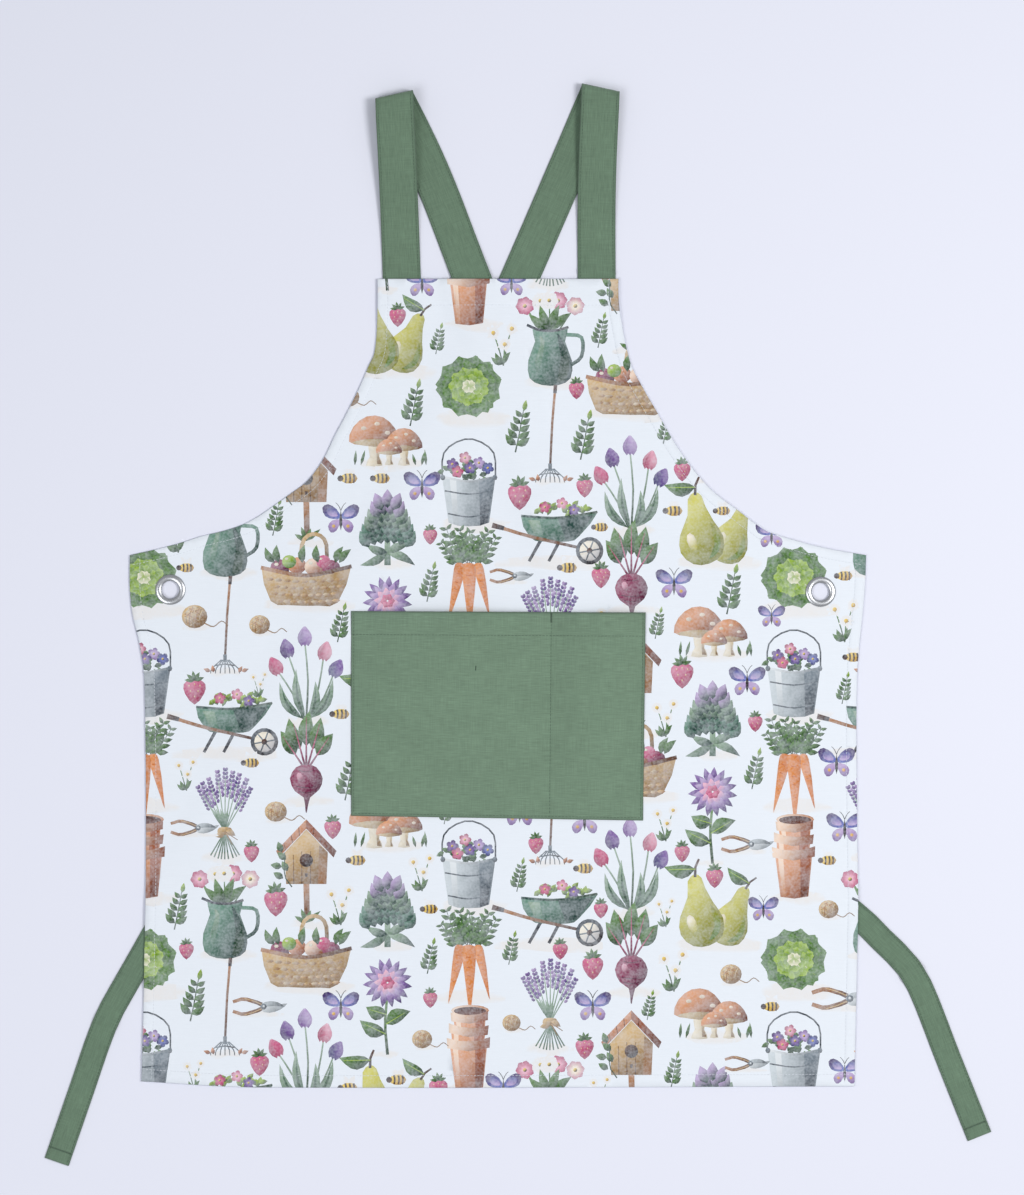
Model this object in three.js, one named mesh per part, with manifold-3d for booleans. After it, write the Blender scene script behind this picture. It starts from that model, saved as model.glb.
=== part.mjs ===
// A gardening apron laid out flat, printed face up, with its straps and ties as they fell.
// Millimetres, +Z up, the neck towards +Y. The origin is the middle of the underside of its box.

import * as THREE from "three";
import { mergeVertices } from "three/addons/utils/BufferGeometryUtils.js";
import Module from "manifold-3d";

const wasm = await Module();
wasm.setup();

// Cloth body
const bodyLength = 796;
const bibWidth = 237;
const waistWidth = 725;
const hemWidth = 702;
const armholeDepth = 272;
const clothWall = 1.2;
const hemRise = 0.6;
const bibHemDepth = 26;
const sideHemDepth = 10;
const bottomHemDepth = 12;

// Shoulder straps and the narrower ties sewn to their ends
const strapWidth = 37.5;
const strapThickness = 1.6;
const strapSpacing = 192;
const strapShift = 1.3;
const strapTuck = 22;
const strapSewnLength = 262;
const foldClearance = 0.8;
const tieWidth = 25;
const tieThickness = 1.6;
const tieLap = 22;
const tieBendRound = 12;

// Pocket
const pocketWidth = 289;
const pocketHeight = 202;
const pocketDrop = 327;
const pocketWall = 1.2;
const pocketHemDepth = 23;
const pocketDivider = 197;
const pocketSeam = 4;
const pocketGape = 7.5;

// Eyelets
const eyeletBore = 17;
const eyeletWidth = 30;
const eyeletBarrelWall = 1.2;
const eyeletCrown = 1.8;
const washerThickness = 0.8;
const eyeletInset = 42.5;
const eyeletDrop = 35;
const eyeletShift = -2.5;
const eyeletTilt = 1;

// How the layers lie on one another
const gap = 0.3;
const rampWidth = 14;
const rampLength = 30;
const rampStart = 0.2;
const eyeletRamp = 10;
const routeStep = 20;
const belowFloor = 5;
const aboveAll = 30;

// Armhole edges from the bib corner to the waist corner, as shares of armholeDepth and of the reach outwards
const armholes = {
  left: [
    { down: 0, out: 0 },
    { down: 0.23, out: 0.006 },
    { down: 0.316, out: 0.037 },
    { down: 0.433, out: 0.095 },
    { down: 0.573, out: 0.176 },
    { down: 0.657, out: 0.222 },
    { down: 0.735, out: 0.288 },
    { down: 0.79, out: 0.372 },
    { down: 0.857, out: 0.478 },
    { down: 0.9, out: 0.575 },
    { down: 0.932, out: 0.715 },
    { down: 0.965, out: 0.83 },
    { down: 1, out: 1 },
  ],
  right: [
    { down: 0, out: 0 },
    { down: 0.1, out: 0.003 },
    { down: 0.18, out: 0.02 },
    { down: 0.32, out: 0.055 },
    { down: 0.44, out: 0.13 },
    { down: 0.545, out: 0.195 },
    { down: 0.64, out: 0.262 },
    { down: 0.725, out: 0.335 },
    { down: 0.79, out: 0.41 },
    { down: 0.855, out: 0.51 },
    { down: 0.91, out: 0.59 },
    { down: 0.945, out: 0.71 },
    { down: 0.975, out: 0.84 },
    { down: 1, out: 1 },
  ],
};

// Side edges below the waist corner, as shares of their length and of the taper from waist to hem
const sides = {
  left: [
    { down: 0.06, inward: 0 },
    { down: 0.11, inward: 0.22 },
    { down: 0.17, inward: 0.86 },
    { down: 0.235, inward: 1.24 },
    { down: 0.58, inward: 1.37 },
    { down: 0.9, inward: 1.11 },
  ],
  right: [
    { down: 0.07, inward: 0.13 },
    { down: 0.23, inward: 0.77 },
    { down: 0.5, inward: 0.77 },
    { down: 0.65, inward: 0.69 },
  ],
};

// Bottom edge from left to right, as shares of hemWidth and of bodyLength
const bottomEdge = [
  { across: -0.5, lift: 0.0075 },
  { across: -0.42, lift: 0.0037 },
  { across: -0.34, lift: 0 },
  { across: 0.5, lift: 0.0012 },
];

// Pocket corners, as shares of pocketWidth and pocketHeight
const pocketCorners = {
  topLeft: { across: -0.5, down: 0 },
  topRight: { across: 0.503, down: 0.007 },
  bottomRight: { across: 0.494, down: 1.021 },
  bottomLeft: { across: -0.5, down: 0.998 },
};

// Each strap: its side, the height of its fold above the bib, its lean out to there, where the middle of
// its back run meets the bib edge, and how far each run bows towards the right
const strapRuns = {
  left: { outward: -1, rise: 181, lean: 7.5, entry: -25.5, frontBow: 0.5, backBow: 4 },
  right: { outward: 1, rise: 188, lean: 4, entry: 21, frontBow: -2, backBow: 0.5 },
};

// The hidden way behind the body, as shares of hemWidth and bodyLength, by the strap that it starts from
const hiddenRuns = {
  left: [
    { across: 0.039, down: 0.165 },
    { across: 0.087, down: 0.345 },
    { across: 0.147, down: 0.548 },
    { across: 0.238, down: 0.626 },
    { across: 0.363, down: 0.702 },
    { across: 0.503, down: 0.787 },
  ],
  right: [
    { across: -0.071, down: 0.199 },
    { across: -0.174, down: 0.348 },
    { across: -0.278, down: 0.488 },
    { across: -0.387, down: 0.66 },
    { across: -0.494, down: 0.829 },
  ],
};

// The part of each tie that shows beyond the body: two runs with a bend between, angles below level
const tieRuns = {
  left: { outward: 1, firstRun: 78, firstAngle: 44.4, lastRun: 176, lastAngle: 68.2 },
  right: { outward: -1, firstRun: 79, firstAngle: 60.4, lastRun: 149, lastAngle: 70.9 },
};

// Colours and finishes
const clothFinish = { color: 0xe6edf4, roughness: 0.85, metalness: 0 };
const greenFinish = { color: 0x6f8c72, roughness: 0.85, metalness: 0 };
const metalFinish = { color: 0xb9bdc2, roughness: 0.3, metalness: 1 };

// Heights that follow from the layers
const layerStep = strapThickness + gap;
const bodyRestsOn = gap;
const pocketRestsOn = clothWall + gap;
const strapFoldRadius = (strapThickness + foldClearance) / 2;

function smooth(share) {
  const held = Math.min(1, Math.max(0, share));
  return held * held * (3 - 2 * held);
}

// Closed solids from geometry, and back

function toSolid(geometry) {
  const bare = geometry.clone();
  bare.deleteAttribute("normal");
  bare.deleteAttribute("uv");
  const merged = mergeVertices(bare);
  const vertProperties = new Float32Array(merged.attributes.position.array);
  const triVerts = new Uint32Array(merged.index.array);
  return new wasm.Manifold(new wasm.Mesh({ numProp: 3, vertProperties, triVerts }));
}

function toGeometry(solid) {
  const mesh = solid.getMesh();
  const geometry = new THREE.BufferGeometry();
  geometry.setAttribute("position", new THREE.BufferAttribute(mesh.vertProperties, 3));
  geometry.setIndex(new THREE.BufferAttribute(mesh.triVerts, 1));
  return geometry;
}

// A solid through a row of rings with the same number of corners, closed at both ends by a fan
// from the ring's first corner
function loft(rings) {
  const count = rings[0].length;
  const last = (rings.length - 1) * count;
  const positions = rings.flat().flatMap((corner) => [corner.x, corner.y, corner.z]);
  const faces = [];
  for (let ring = 0; ring < last; ring += count) {
    for (let corner = 0; corner < count; corner += 1) {
      const here = ring + corner;
      const beside = ring + ((corner + 1) % count);
      faces.push(here, beside, here + count, beside, beside + count, here + count);
    }
  }
  for (let corner = 1; corner + 1 < count; corner += 1) {
    faces.push(0, corner + 1, corner);
    faces.push(last, last + corner, last + corner + 1);
  }
  if (signedVolume(positions, faces) < 0) {
    faces.reverse();
  }
  const geometry = new THREE.BufferGeometry();
  geometry.setAttribute("position", new THREE.Float32BufferAttribute(positions, 3));
  geometry.setIndex(faces);
  return geometry;
}

// Six times the volume inside a closed list of faces, below zero where they point inwards
function signedVolume(positions, faces) {
  const corner = (index) => new THREE.Vector3().fromArray(positions, 3 * index);
  let volume = 0;
  for (let face = 0; face < faces.length; face += 3) {
    volume += corner(faces[face]).dot(corner(faces[face + 1]).cross(corner(faces[face + 2])));
  }
  return volume;
}

function prism(points, bottom, top) {
  const geometry = new THREE.ExtrudeGeometry(new THREE.Shape(points), {
    depth: top - bottom,
    bevelEnabled: false,
  });
  geometry.translate(0, 0, bottom);
  return toSolid(geometry);
}

// A point of a four-cornered patch, by its shares across and down, which may run past its edges
function patchPoint(corner, across, down) {
  const start = corner.topLeft.clone().lerp(corner.bottomLeft, down);
  const end = corner.topRight.clone().lerp(corner.bottomRight, down);
  return start.lerp(end, across);
}

// Everything under a surface over a patch, whose height is worked out on a grid that runs past its edges
function underSurface(corner, columns, rows, past, height) {
  const rings = [];
  const share = (step, steps) => -past + ((1 + 2 * past) * step) / steps;
  for (let row = 0; row <= rows; row += 1) {
    const down = share(row, rows);
    const start = patchPoint(corner, -past, down);
    const end = patchPoint(corner, 1 + past, down);
    const ring = [new THREE.Vector3(start.x, start.y, -belowFloor)];
    for (let column = 0; column <= columns; column += 1) {
      const across = share(column, columns);
      const point = patchPoint(corner, across, down);
      ring.push(new THREE.Vector3(point.x, point.y, height(across, down)));
    }
    ring.push(new THREE.Vector3(end.x, end.y, -belowFloor));
    rings.push(ring);
  }
  return toSolid(loft(rings));
}

// Outline of the body in plan, with the turned hem's depth along each edge

function bodyOutline() {
  const points = [];
  const reach = (waistWidth - bibWidth) / 2;
  const taper = (waistWidth - hemWidth) / 2;
  const sideLength = bodyLength - armholeDepth;

  function armhole(side, outward) {
    const rows = armholes[side].map(
      (row) => new THREE.Vector2(outward * (bibWidth / 2 + row.out * reach), -row.down * armholeDepth),
    );
    return new THREE.SplineCurve(rows).getPoints(18);
  }

  function sideEdge(side, outward) {
    return sides[side].map((row) => {
      const across = outward * (waistWidth / 2 - row.inward * taper);
      return new THREE.Vector2(across, -armholeDepth - row.down * sideLength);
    });
  }

  function add(list, hem) {
    list.forEach((point) => points.push({ point, hem }));
  }

  add(armhole("left", -1), sideHemDepth);
  add(sideEdge("left", -1), sideHemDepth);
  add(
    bottomEdge.map((row) => new THREE.Vector2(row.across * hemWidth, (row.lift - 1) * bodyLength)),
    bottomHemDepth,
  );
  points.at(-1).hem = sideHemDepth;
  add(sideEdge("right", 1).reverse(), sideHemDepth);
  add(armhole("right", 1).reverse(), sideHemDepth);
  points.at(-1).hem = bibHemDepth;
  return points;
}

// The outline drawn in by each edge's own hem depth
function insetOutline(outline) {
  const count = outline.length;
  const edges = outline.map(({ point, hem }, index) => {
    const next = outline[(index + 1) % count].point;
    const along = next.clone().sub(point).normalize();
    const inward = new THREE.Vector2(-along.y, along.x);
    return { along, start: point.clone().addScaledVector(inward, hem) };
  });
  return edges.map((edge, index) => {
    const before = edges[(index + count - 1) % count];
    const turn = before.along.cross(edge.along);
    if (Math.abs(turn) < 0.001) {
      return edge.start;
    }
    const offset = edge.start.clone().sub(before.start);
    return before.start.clone().addScaledVector(before.along, offset.cross(edge.along) / turn);
  });
}

// Routes of the straps and ties

function planPoint(row) {
  return new THREE.Vector2(row.across * hemWidth, -row.down * bodyLength);
}

// The straight runs of one strap and the slanted fold between them
function strapFold(side) {
  const run = strapRuns[side];
  const base = new THREE.Vector2((run.outward * strapSpacing) / 2 + strapShift, 0);
  const top = new THREE.Vector2(base.x + run.outward * run.lean, run.rise);
  const entry = new THREE.Vector2(run.entry, 0);
  const up = top.clone().sub(base).normalize();
  const down = entry.clone().sub(top).normalize();
  const line = up.clone().add(down).normalize();
  if (line.x < 0) {
    line.negate();
  }
  const outward = new THREE.Vector2(-line.y, line.x);
  const middle = top.clone().addScaledVector(outward, -(strapFoldRadius + strapThickness / 2));
  const spread = Math.acos(-up.dot(down));
  return {
    base,
    up,
    down,
    entry,
    line,
    outward,
    middle,
    halfLine: strapWidth / 2 / Math.abs(up.cross(line)),
    parting: strapWidth / 2 / Math.tan(spread / 2),
  };
}

// A direction in plan that falls outwards at an angle below level
function slopeOf(outward, angle) {
  const slope = THREE.MathUtils.degToRad(angle);
  return new THREE.Vector2(outward * Math.cos(slope), -Math.sin(slope));
}

// The whole way of a strap and its tie from the fold to the tie's free end, as one smooth curve
function makeRoute(side) {
  const fold = strapFold(side);
  const tie = tieRuns[side];
  const bowed = fold.middle.clone().lerp(fold.entry, 0.4);
  bowed.x += strapRuns[side].backBow;
  const points = [fold.middle.clone(), bowed, fold.entry.clone()];
  hiddenRuns[side].forEach((row) => points.push(planPoint(row)));
  const exit = points.at(-1);
  const bend = exit.clone().addScaledVector(slopeOf(tie.outward, tie.firstAngle), tie.firstRun);
  const end = bend.clone().addScaledVector(slopeOf(tie.outward, tie.lastAngle), tie.lastRun);
  const beforeBend = bend.clone().lerp(exit, tieBendRound / tie.firstRun);
  const afterBend = bend.clone().lerp(end, tieBendRound / tie.lastRun);
  points.push(exit.clone().lerp(bend, 0.5), beforeBend, afterBend, afterBend.clone().lerp(end, 0.5), end);
  const curve = new THREE.CatmullRomCurve3(
    points.map((point) => new THREE.Vector3(point.x, point.y, 0)),
    false,
    "centripetal",
  );
  curve.arcLengthDivisions = 400;
  const total = curve.getLength();
  const steps = Math.round(total / routeStep);
  const samples = [];
  for (let step = 0; step <= steps; step += 1) {
    samples.push(sampleAt({ curve, total }, (step / steps) * total));
  }
  const nearest = samples.reduce((best, sample) =>
    sample.point.distanceTo(exit) < best.point.distanceTo(exit) ? sample : best,
  );
  const backRun = fold.middle.distanceTo(fold.entry);
  return { fold, curve, total, samples, exitLength: nearest.length, strapEnd: backRun + strapSewnLength };
}

function sampleAt(route, length) {
  const share = Math.min(1, Math.max(0, length / route.total));
  const at = route.curve.getPointAt(share);
  const tangent = route.curve.getTangentAt(share);
  return {
    length: share * route.total,
    point: new THREE.Vector2(at.x, at.y),
    along: new THREE.Vector2(tangent.x, tangent.y).normalize(),
  };
}

// Where the left strap's back run passes over the right one's, as a length along the left one
function crossingLength(over, under) {
  let best = { away: Infinity, length: 0 };
  over.samples.forEach((sample) => {
    under.samples.forEach((other) => {
      const away = sample.point.distanceTo(other.point);
      if (away < best.away && sample.point.y < 0) {
        best = { away, length: sample.length };
      }
    });
  });
  return best.length;
}

const routes = { left: makeRoute("left"), right: makeRoute("right") };
const crossingAt = crossingLength(routes.left, routes.right);
const crossingTurn = Math.acos(routes.left.fold.down.dot(routes.right.fold.down));
const crossingSpread = 1 / Math.sin(crossingTurn) + 1 / Math.tan(crossingTurn);
const crossingHalf = (strapWidth / 2) * crossingSpread + routeStep;

// Height of a strap's underside: it climbs over the other strap at the crossing
function strapRest(side, length) {
  if (side === "right") {
    return 0;
  }
  const away = Math.abs(length - crossingAt);
  return layerStep * smooth(1 - (away - crossingHalf) / rampLength);
}

// Height of a tie's underside: its sewn end lies on the strap's end, and it comes down past it
function tieRest(side, length) {
  const past = length - routes[side].strapEnd - routeStep;
  return layerStep * smooth(1 - past / rampLength);
}

// A section across a ribbon, as a ring of four corners
function ribbonRing(centre, across, half, height, thickness, normal) {
  const corners = [];
  for (const [sideways, upward] of [[-1, -1], [1, -1], [1, 1], [-1, 1]]) {
    corners.push(
      new THREE.Vector3(
        centre.x + across.x * half * sideways + (normal.x * thickness * upward) / 2,
        centre.y + across.y * half * sideways + (normal.y * thickness * upward) / 2,
        height + (normal.z * thickness * upward) / 2,
      ),
    );
  }
  return corners;
}

const upright = new THREE.Vector3(0, 0, 1);

function acrossOf(along) {
  return new THREE.Vector2(-along.y, along.x);
}

// Shoulder strap: up from behind the bib, over at the slanted fold, and back behind the body
function makeStrap(side) {
  const route = routes[side];
  const fold = route.fold;
  const low = strapThickness / 2;
  const high = low + 2 * strapFoldRadius;
  const rings = [];
  const frontLength = fold.base.distanceTo(fold.middle);
  const climbEnd = frontLength - fold.parting - gap;
  const climbStart = climbEnd * rampStart;
  const across = acrossOf(fold.up);
  const lineAcross = fold.line.clone().multiplyScalar(Math.sign(fold.line.dot(across)));
  const half = strapWidth / 2;

  // Front run
  const frontSteps = 10;
  const lastStraight = frontLength - fold.halfLine;
  for (let step = 0; step <= frontSteps; step += 1) {
    const length = -strapTuck + ((lastStraight + strapTuck) * step) / frontSteps;
    const climb = smooth((length - climbStart) / (climbEnd - climbStart));
    const centre = fold.base.clone().addScaledVector(fold.up, length);
    centre.x += strapRuns[side].frontBow * Math.sin(Math.PI * Math.max(0, length / frontLength));
    rings.push(ribbonRing(centre, across, half, low + (high - low) * climb, strapThickness, upright));
  }

  // Fold
  const foldSteps = 8;
  for (let step = 0; step <= foldSteps; step += 1) {
    const turn = (Math.PI * step) / foldSteps;
    const reach = strapFoldRadius * Math.sin(turn);
    const centre = fold.middle.clone().addScaledVector(fold.outward, reach);
    const normal = new THREE.Vector3(
      fold.outward.x * Math.sin(turn),
      fold.outward.y * Math.sin(turn),
      Math.cos(turn),
    );
    const height = low + strapFoldRadius * (1 + Math.cos(turn));
    rings.push(ribbonRing(centre, lineAcross, fold.halfLine, height, strapThickness, normal));
  }

  // Back run and hidden run, turned over by the fold
  const under = upright.clone().negate();
  const stations = route.samples.filter(
    (sample) => sample.length > fold.halfLine && sample.length < route.strapEnd - routeStep / 4,
  );
  stations.push(sampleAt(route, route.strapEnd));
  for (const sample of stations) {
    const height = low + strapRest(side, sample.length);
    const sideways = acrossOf(sample.along);
    sideways.multiplyScalar(Math.sign(sideways.dot(lineAcross)));
    rings.push(ribbonRing(sample.point, sideways, half, height, strapThickness, under));
  }
  return loft(rings);
}

// Waist tie: sewn on the strap's end, out from under the body and bent where it fell
function makeTie(side) {
  const route = routes[side];
  const start = route.strapEnd - tieLap;
  const stations = [sampleAt(route, start)];
  route.samples.forEach((sample) => {
    if (sample.length > start + routeStep / 4) {
      stations.push(sample);
    }
  });
  const rings = stations.map((sample) => {
    const height = tieThickness / 2 + tieRest(side, sample.length);
    return ribbonRing(sample.point, acrossOf(sample.along), tieWidth / 2, height, tieThickness, upright);
  });
  return loft(rings);
}

// The space that a ribbon takes under the cloth laid over it: flat on top, sloping down at both sides
function ridge(stations, width, topHeight) {
  const rings = stations.map((sample) => {
    const across = acrossOf(sample.along);
    const top = topHeight(sample);
    const crest = width / 2 + gap;
    const foot = crest + rampWidth;
    const profile = [
      [-foot, -belowFloor],
      [foot, -belowFloor],
      [foot, 0],
      [crest, top],
      [-crest, top],
      [-foot, 0],
    ];
    return profile.map(([sideways, height]) => {
      const corner = sample.point.clone().addScaledVector(across, sideways);
      return new THREE.Vector3(corner.x, corner.y, height);
    });
  });
  return toSolid(loft(rings));
}

function makeRidges() {
  const ridges = [];
  for (const side of ["left", "right"]) {
    const route = routes[side];
    const fold = route.fold;
    const frontStations = [-strapTuck - rampWidth, strapTuck + rampWidth].map((length) => ({
      point: fold.base.clone().addScaledVector(fold.up, length),
      along: fold.up,
    }));
    ridges.push(ridge(frontStations, strapWidth, () => strapThickness + bodyRestsOn));

    const entryLength = fold.middle.distanceTo(fold.entry);
    const strapStations = route.samples.filter(
      (sample) => sample.length > entryLength - 3 * routeStep && sample.length < route.strapEnd,
    );
    strapStations.push(sampleAt(route, route.strapEnd + rampWidth));
    const strapTop = (sample) => strapRest(side, sample.length) + strapThickness + bodyRestsOn;
    ridges.push(ridge(strapStations, strapWidth, strapTop));

    const tieStations = [sampleAt(route, route.strapEnd - tieLap - rampWidth)];
    route.samples.forEach((sample) => {
      if (sample.length > route.strapEnd - tieLap && sample.length < route.exitLength + 2 * routeStep) {
        tieStations.push(sample);
      }
    });
    const tieTop = (sample) => tieRest(side, sample.length) + tieThickness + bodyRestsOn;
    ridges.push(ridge(tieStations, tieWidth, tieTop));
  }
  return ridges;
}

// Eyelets: a rolled ring in front, a barrel through the cloth and a washer behind

// Their places count in from the side edges and down from the waist corners
const eyeletReach = waistWidth / 2 - eyeletInset;
const eyeletLine = -armholeDepth - eyeletDrop;
const eyeletPlaces = {
  left: new THREE.Vector2(eyeletShift - eyeletReach, eyeletLine + eyeletTilt),
  right: new THREE.Vector2(eyeletShift + eyeletReach, eyeletLine - eyeletTilt),
};
const eyeletSides = 28;
const barrelRadius = eyeletBore / 2 + eyeletBarrelWall;

function makeEyelet() {
  const bore = eyeletBore / 2;
  const rim = eyeletWidth / 2;
  const seat = washerThickness + gap + clothWall + gap;
  const crest = (bore + rim) / 2;
  const profile = [
    [bore, gap],
    [bore + gap, 0],
    [rim - gap, 0],
    [rim, gap],
    [rim, washerThickness - gap / 2],
    [rim - gap, washerThickness],
    [barrelRadius, washerThickness],
    [barrelRadius, seat],
    [rim - gap, seat],
    [rim, seat + gap],
  ];
  const crownSteps = 6;
  for (let step = 1; step < crownSteps; step += 1) {
    const turn = (Math.PI * step) / crownSteps;
    const radius = crest + (rim - crest) * Math.cos(turn);
    profile.push([radius, seat + gap + (eyeletCrown - gap) * Math.sin(turn)]);
  }
  profile.push([bore, seat + gap]);
  profile.push(profile[0]);
  return new THREE.LatheGeometry(
    profile.map(([radius, height]) => new THREE.Vector2(radius, height)),
    eyeletSides,
  );
}

function upperCone(place, crestRadius, footRadius, height) {
  const geometry = new THREE.CylinderGeometry(crestRadius, footRadius, height, eyeletSides);
  geometry.rotateX(Math.PI / 2);
  geometry.translate(place.x, place.y, height / 2);
  return toSolid(geometry);
}

function makeMounds() {
  const crest = eyeletWidth / 2 + gap;
  const height = washerThickness + gap;
  const slope = eyeletRamp / height;
  return Object.values(eyeletPlaces).map((place) =>
    upperCone(place, crest, crest + eyeletRamp + slope * belowFloor, height + belowFloor).translate([
      0,
      0,
      -belowFloor,
    ]),
  );
}

// Cloth laid over what is under it keeps its thickness: it is what lies below its top,
// less what lies below its underside

function raise(solids, height) {
  return solids.map((solid) => solid.translate([0, 0, height]));
}

const humps = [...makeRidges(), ...makeMounds()];

function makeBody() {
  const outline = bodyOutline();
  const edge = outline.map(({ point }) => point);
  const inner = insetOutline(outline);
  const field = prism(edge, 0, clothWall).add(
    wasm.Manifold.union(raise(humps, clothWall)).intersect(prism(edge, 0, aboveAll)),
  );
  const hemTop = clothWall + hemRise;
  const hemRing = prism(edge, 0, aboveAll).subtract(prism(inner, -belowFloor, aboveAll + belowFloor));
  const hem = prism(edge, 0, hemTop).add(wasm.Manifold.union(raise(humps, hemTop))).intersect(hemRing);
  let body = field.add(hem).subtract(wasm.Manifold.union(humps));
  for (const place of Object.values(eyeletPlaces)) {
    const hole = new THREE.CylinderGeometry(barrelRadius + gap, barrelRadius + gap, aboveAll, eyeletSides);
    hole.rotateX(Math.PI / 2);
    hole.translate(place.x, place.y, 0);
    body = body.subtract(toSolid(hole));
  }
  return toGeometry(body);
}

// Pocket: a patch sewn at its sides, bottom and divider, whose mouth stands a little open

function pocketPoint(row) {
  return new THREE.Vector2(row.across * pocketWidth, -pocketDrop - row.down * pocketHeight);
}

function makePocket() {
  const corner = {};
  for (const [name, row] of Object.entries(pocketCorners)) {
    corner[name] = pocketPoint(row);
  }
  const edge = [corner.topLeft, corner.bottomLeft, corner.bottomRight, corner.topRight];
  const hemShare = pocketHemDepth / pocketHeight;
  const hemEdge = [
    corner.topLeft,
    patchPoint(corner, 0, hemShare),
    patchPoint(corner, 1, hemShare),
    corner.topRight,
  ];
  const seam = pocketSeam / pocketWidth;
  const divider = pocketDivider / pocketWidth;
  const compartments = [
    { start: seam, end: divider },
    { start: divider, end: 1 - seam },
  ];
  const columns = 30;
  const rows = 10;
  const past = 0.05;
  const sunk = 0.02;

  // Each compartment bellies out most in the middle of its mouth, and not at all at its seams
  function belly(across, down) {
    const room = compartments.find((one) => across > one.start && across < one.end);
    if (!room || down > 1) {
      return 0;
    }
    const share = (across - room.start) / (room.end - room.start);
    return pocketGape * Math.sin(Math.PI * share) ** 0.8 * (1 - Math.max(0, down) ** 2);
  }

  function under(rest) {
    const slab = underSurface(corner, 1, 1, past, () => rest);
    const surface = (across, down) => rest - sunk + belly(across, down);
    const dome = underSurface(corner, columns, rows, past, surface);
    return wasm.Manifold.union([slab, dome, ...raise(humps, rest)]);
  }

  const patch = under(pocketRestsOn + pocketWall).intersect(prism(edge, 0, aboveAll));
  const hem = under(pocketRestsOn + pocketWall + hemRise).intersect(prism(hemEdge, 0, aboveAll));
  return toGeometry(patch.add(hem).subtract(under(pocketRestsOn)));
}

// Assembly

const apron = new THREE.Group();

function addPiece(name, geometry, finish, place) {
  geometry.computeVertexNormals();
  const piece = new THREE.Mesh(geometry, new THREE.MeshStandardMaterial(finish));
  piece.name = name;
  if (place) {
    piece.position.set(place.x, place.y, 0);
  }
  apron.add(piece);
}

addPiece("body_panel", makeBody(), clothFinish);
addPiece("pocket", makePocket(), greenFinish);
for (const side of ["left", "right"]) {
  const opposite = side === "left" ? "right" : "left";
  addPiece(`shoulder_strap_${side}`, makeStrap(side), greenFinish);
  addPiece(`waist_tie_${opposite}`, makeTie(side), greenFinish);
  const ring = makeEyelet();
  ring.rotateX(Math.PI / 2);
  addPiece(`eyelet_${side}`, ring, metalFinish, eyeletPlaces[side]);
}

// The origin goes to the middle of the underside of the whole apron's box
const box = new THREE.Box3().setFromObject(apron, true);
const middle = box.getCenter(new THREE.Vector3());
apron.position.set(-middle.x, -middle.y, -box.min.z);
apron.updateMatrixWorld(true);

export default apron;
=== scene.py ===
import math
import random

import bmesh
import bpy
import numpy as np
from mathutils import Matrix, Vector, noise
from mathutils.bvhtree import BVHTree
from mathutils.geometry import delaunay_2d_cdt
from mathutils.kdtree import KDTree


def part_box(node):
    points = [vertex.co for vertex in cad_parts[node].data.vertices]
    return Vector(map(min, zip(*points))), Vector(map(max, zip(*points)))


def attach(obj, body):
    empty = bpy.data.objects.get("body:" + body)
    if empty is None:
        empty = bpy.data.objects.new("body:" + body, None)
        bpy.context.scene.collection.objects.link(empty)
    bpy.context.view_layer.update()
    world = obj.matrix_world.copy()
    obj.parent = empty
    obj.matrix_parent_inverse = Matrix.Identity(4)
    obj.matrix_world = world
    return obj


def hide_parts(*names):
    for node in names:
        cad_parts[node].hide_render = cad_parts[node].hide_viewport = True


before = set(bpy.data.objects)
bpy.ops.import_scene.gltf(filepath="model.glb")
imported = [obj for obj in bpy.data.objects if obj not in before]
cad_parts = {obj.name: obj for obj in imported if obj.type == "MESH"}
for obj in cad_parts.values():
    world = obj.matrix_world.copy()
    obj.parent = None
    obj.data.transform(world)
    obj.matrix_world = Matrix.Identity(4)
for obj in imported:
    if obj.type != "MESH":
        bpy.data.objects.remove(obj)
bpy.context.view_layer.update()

# Shapes are worked out in millimetres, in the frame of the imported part, and put down in metres.
MM = 0.001

# Photograph
PHOTO_WIDTH_PX = 1024
PHOTO_HEIGHT_PX = 1195
PHOTO_PIXEL = 0.985
ORIGIN_PX = (518.0, 624.9)
CAMERA_HEIGHT = 4000
SENSOR_HEIGHT = 36

# Cloth
CLOTH_THICKNESS = 1.0
FLOOR_CLEARANCE = 0.6
HEM_RISE = 0.5
BIB_HEM = 26
SIDE_HEM = 10
BOTTOM_HEM = 12
EDGE_STEP = 3.0
CLOTH_STEP = 7.0
REVERSE_STEP = 9.0
EDGE_ROUND = 0.6

# Straps and ties
RIBBON_STEP = 2.0
STRAP_STITCH_INSET = 2.6
TIE_STITCH_INSET = 2.2
FOLD_REACH = 140
TIE_HEM = 12.0
TIE_EASING = 2

# Pocket
POCKET_STEP = 2.4
POCKET_HEM = 23
POCKET_DIVIDER = 197
POCKET_SEAM = 2.6

# Sewing thread
THREAD_RADIUS = 0.22
STITCH_LENGTH = 2.6
STITCH_PITCH = 3.4
STITCH_SINK = 0.2


# Camera, straight above the photograph's middle

def make_camera():
    camera = bpy.data.objects.new("camera", bpy.data.cameras.new("camera"))
    bpy.context.scene.collection.objects.link(camera)
    across = (PHOTO_WIDTH_PX / 2 - ORIGIN_PX[0]) * PHOTO_PIXEL
    up = (ORIGIN_PX[1] - PHOTO_HEIGHT_PX / 2) * PHOTO_PIXEL
    camera.location = Vector((across, up, CAMERA_HEIGHT)) * MM
    camera.data.sensor_fit = "VERTICAL"
    camera.data.sensor_height = SENSOR_HEIGHT
    camera.data.lens = SENSOR_HEIGHT * CAMERA_HEIGHT / (PHOTO_HEIGHT_PX * PHOTO_PIXEL)
    camera.data.clip_end = 100
    bpy.context.scene.camera = camera


make_camera()


# Shaders

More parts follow.
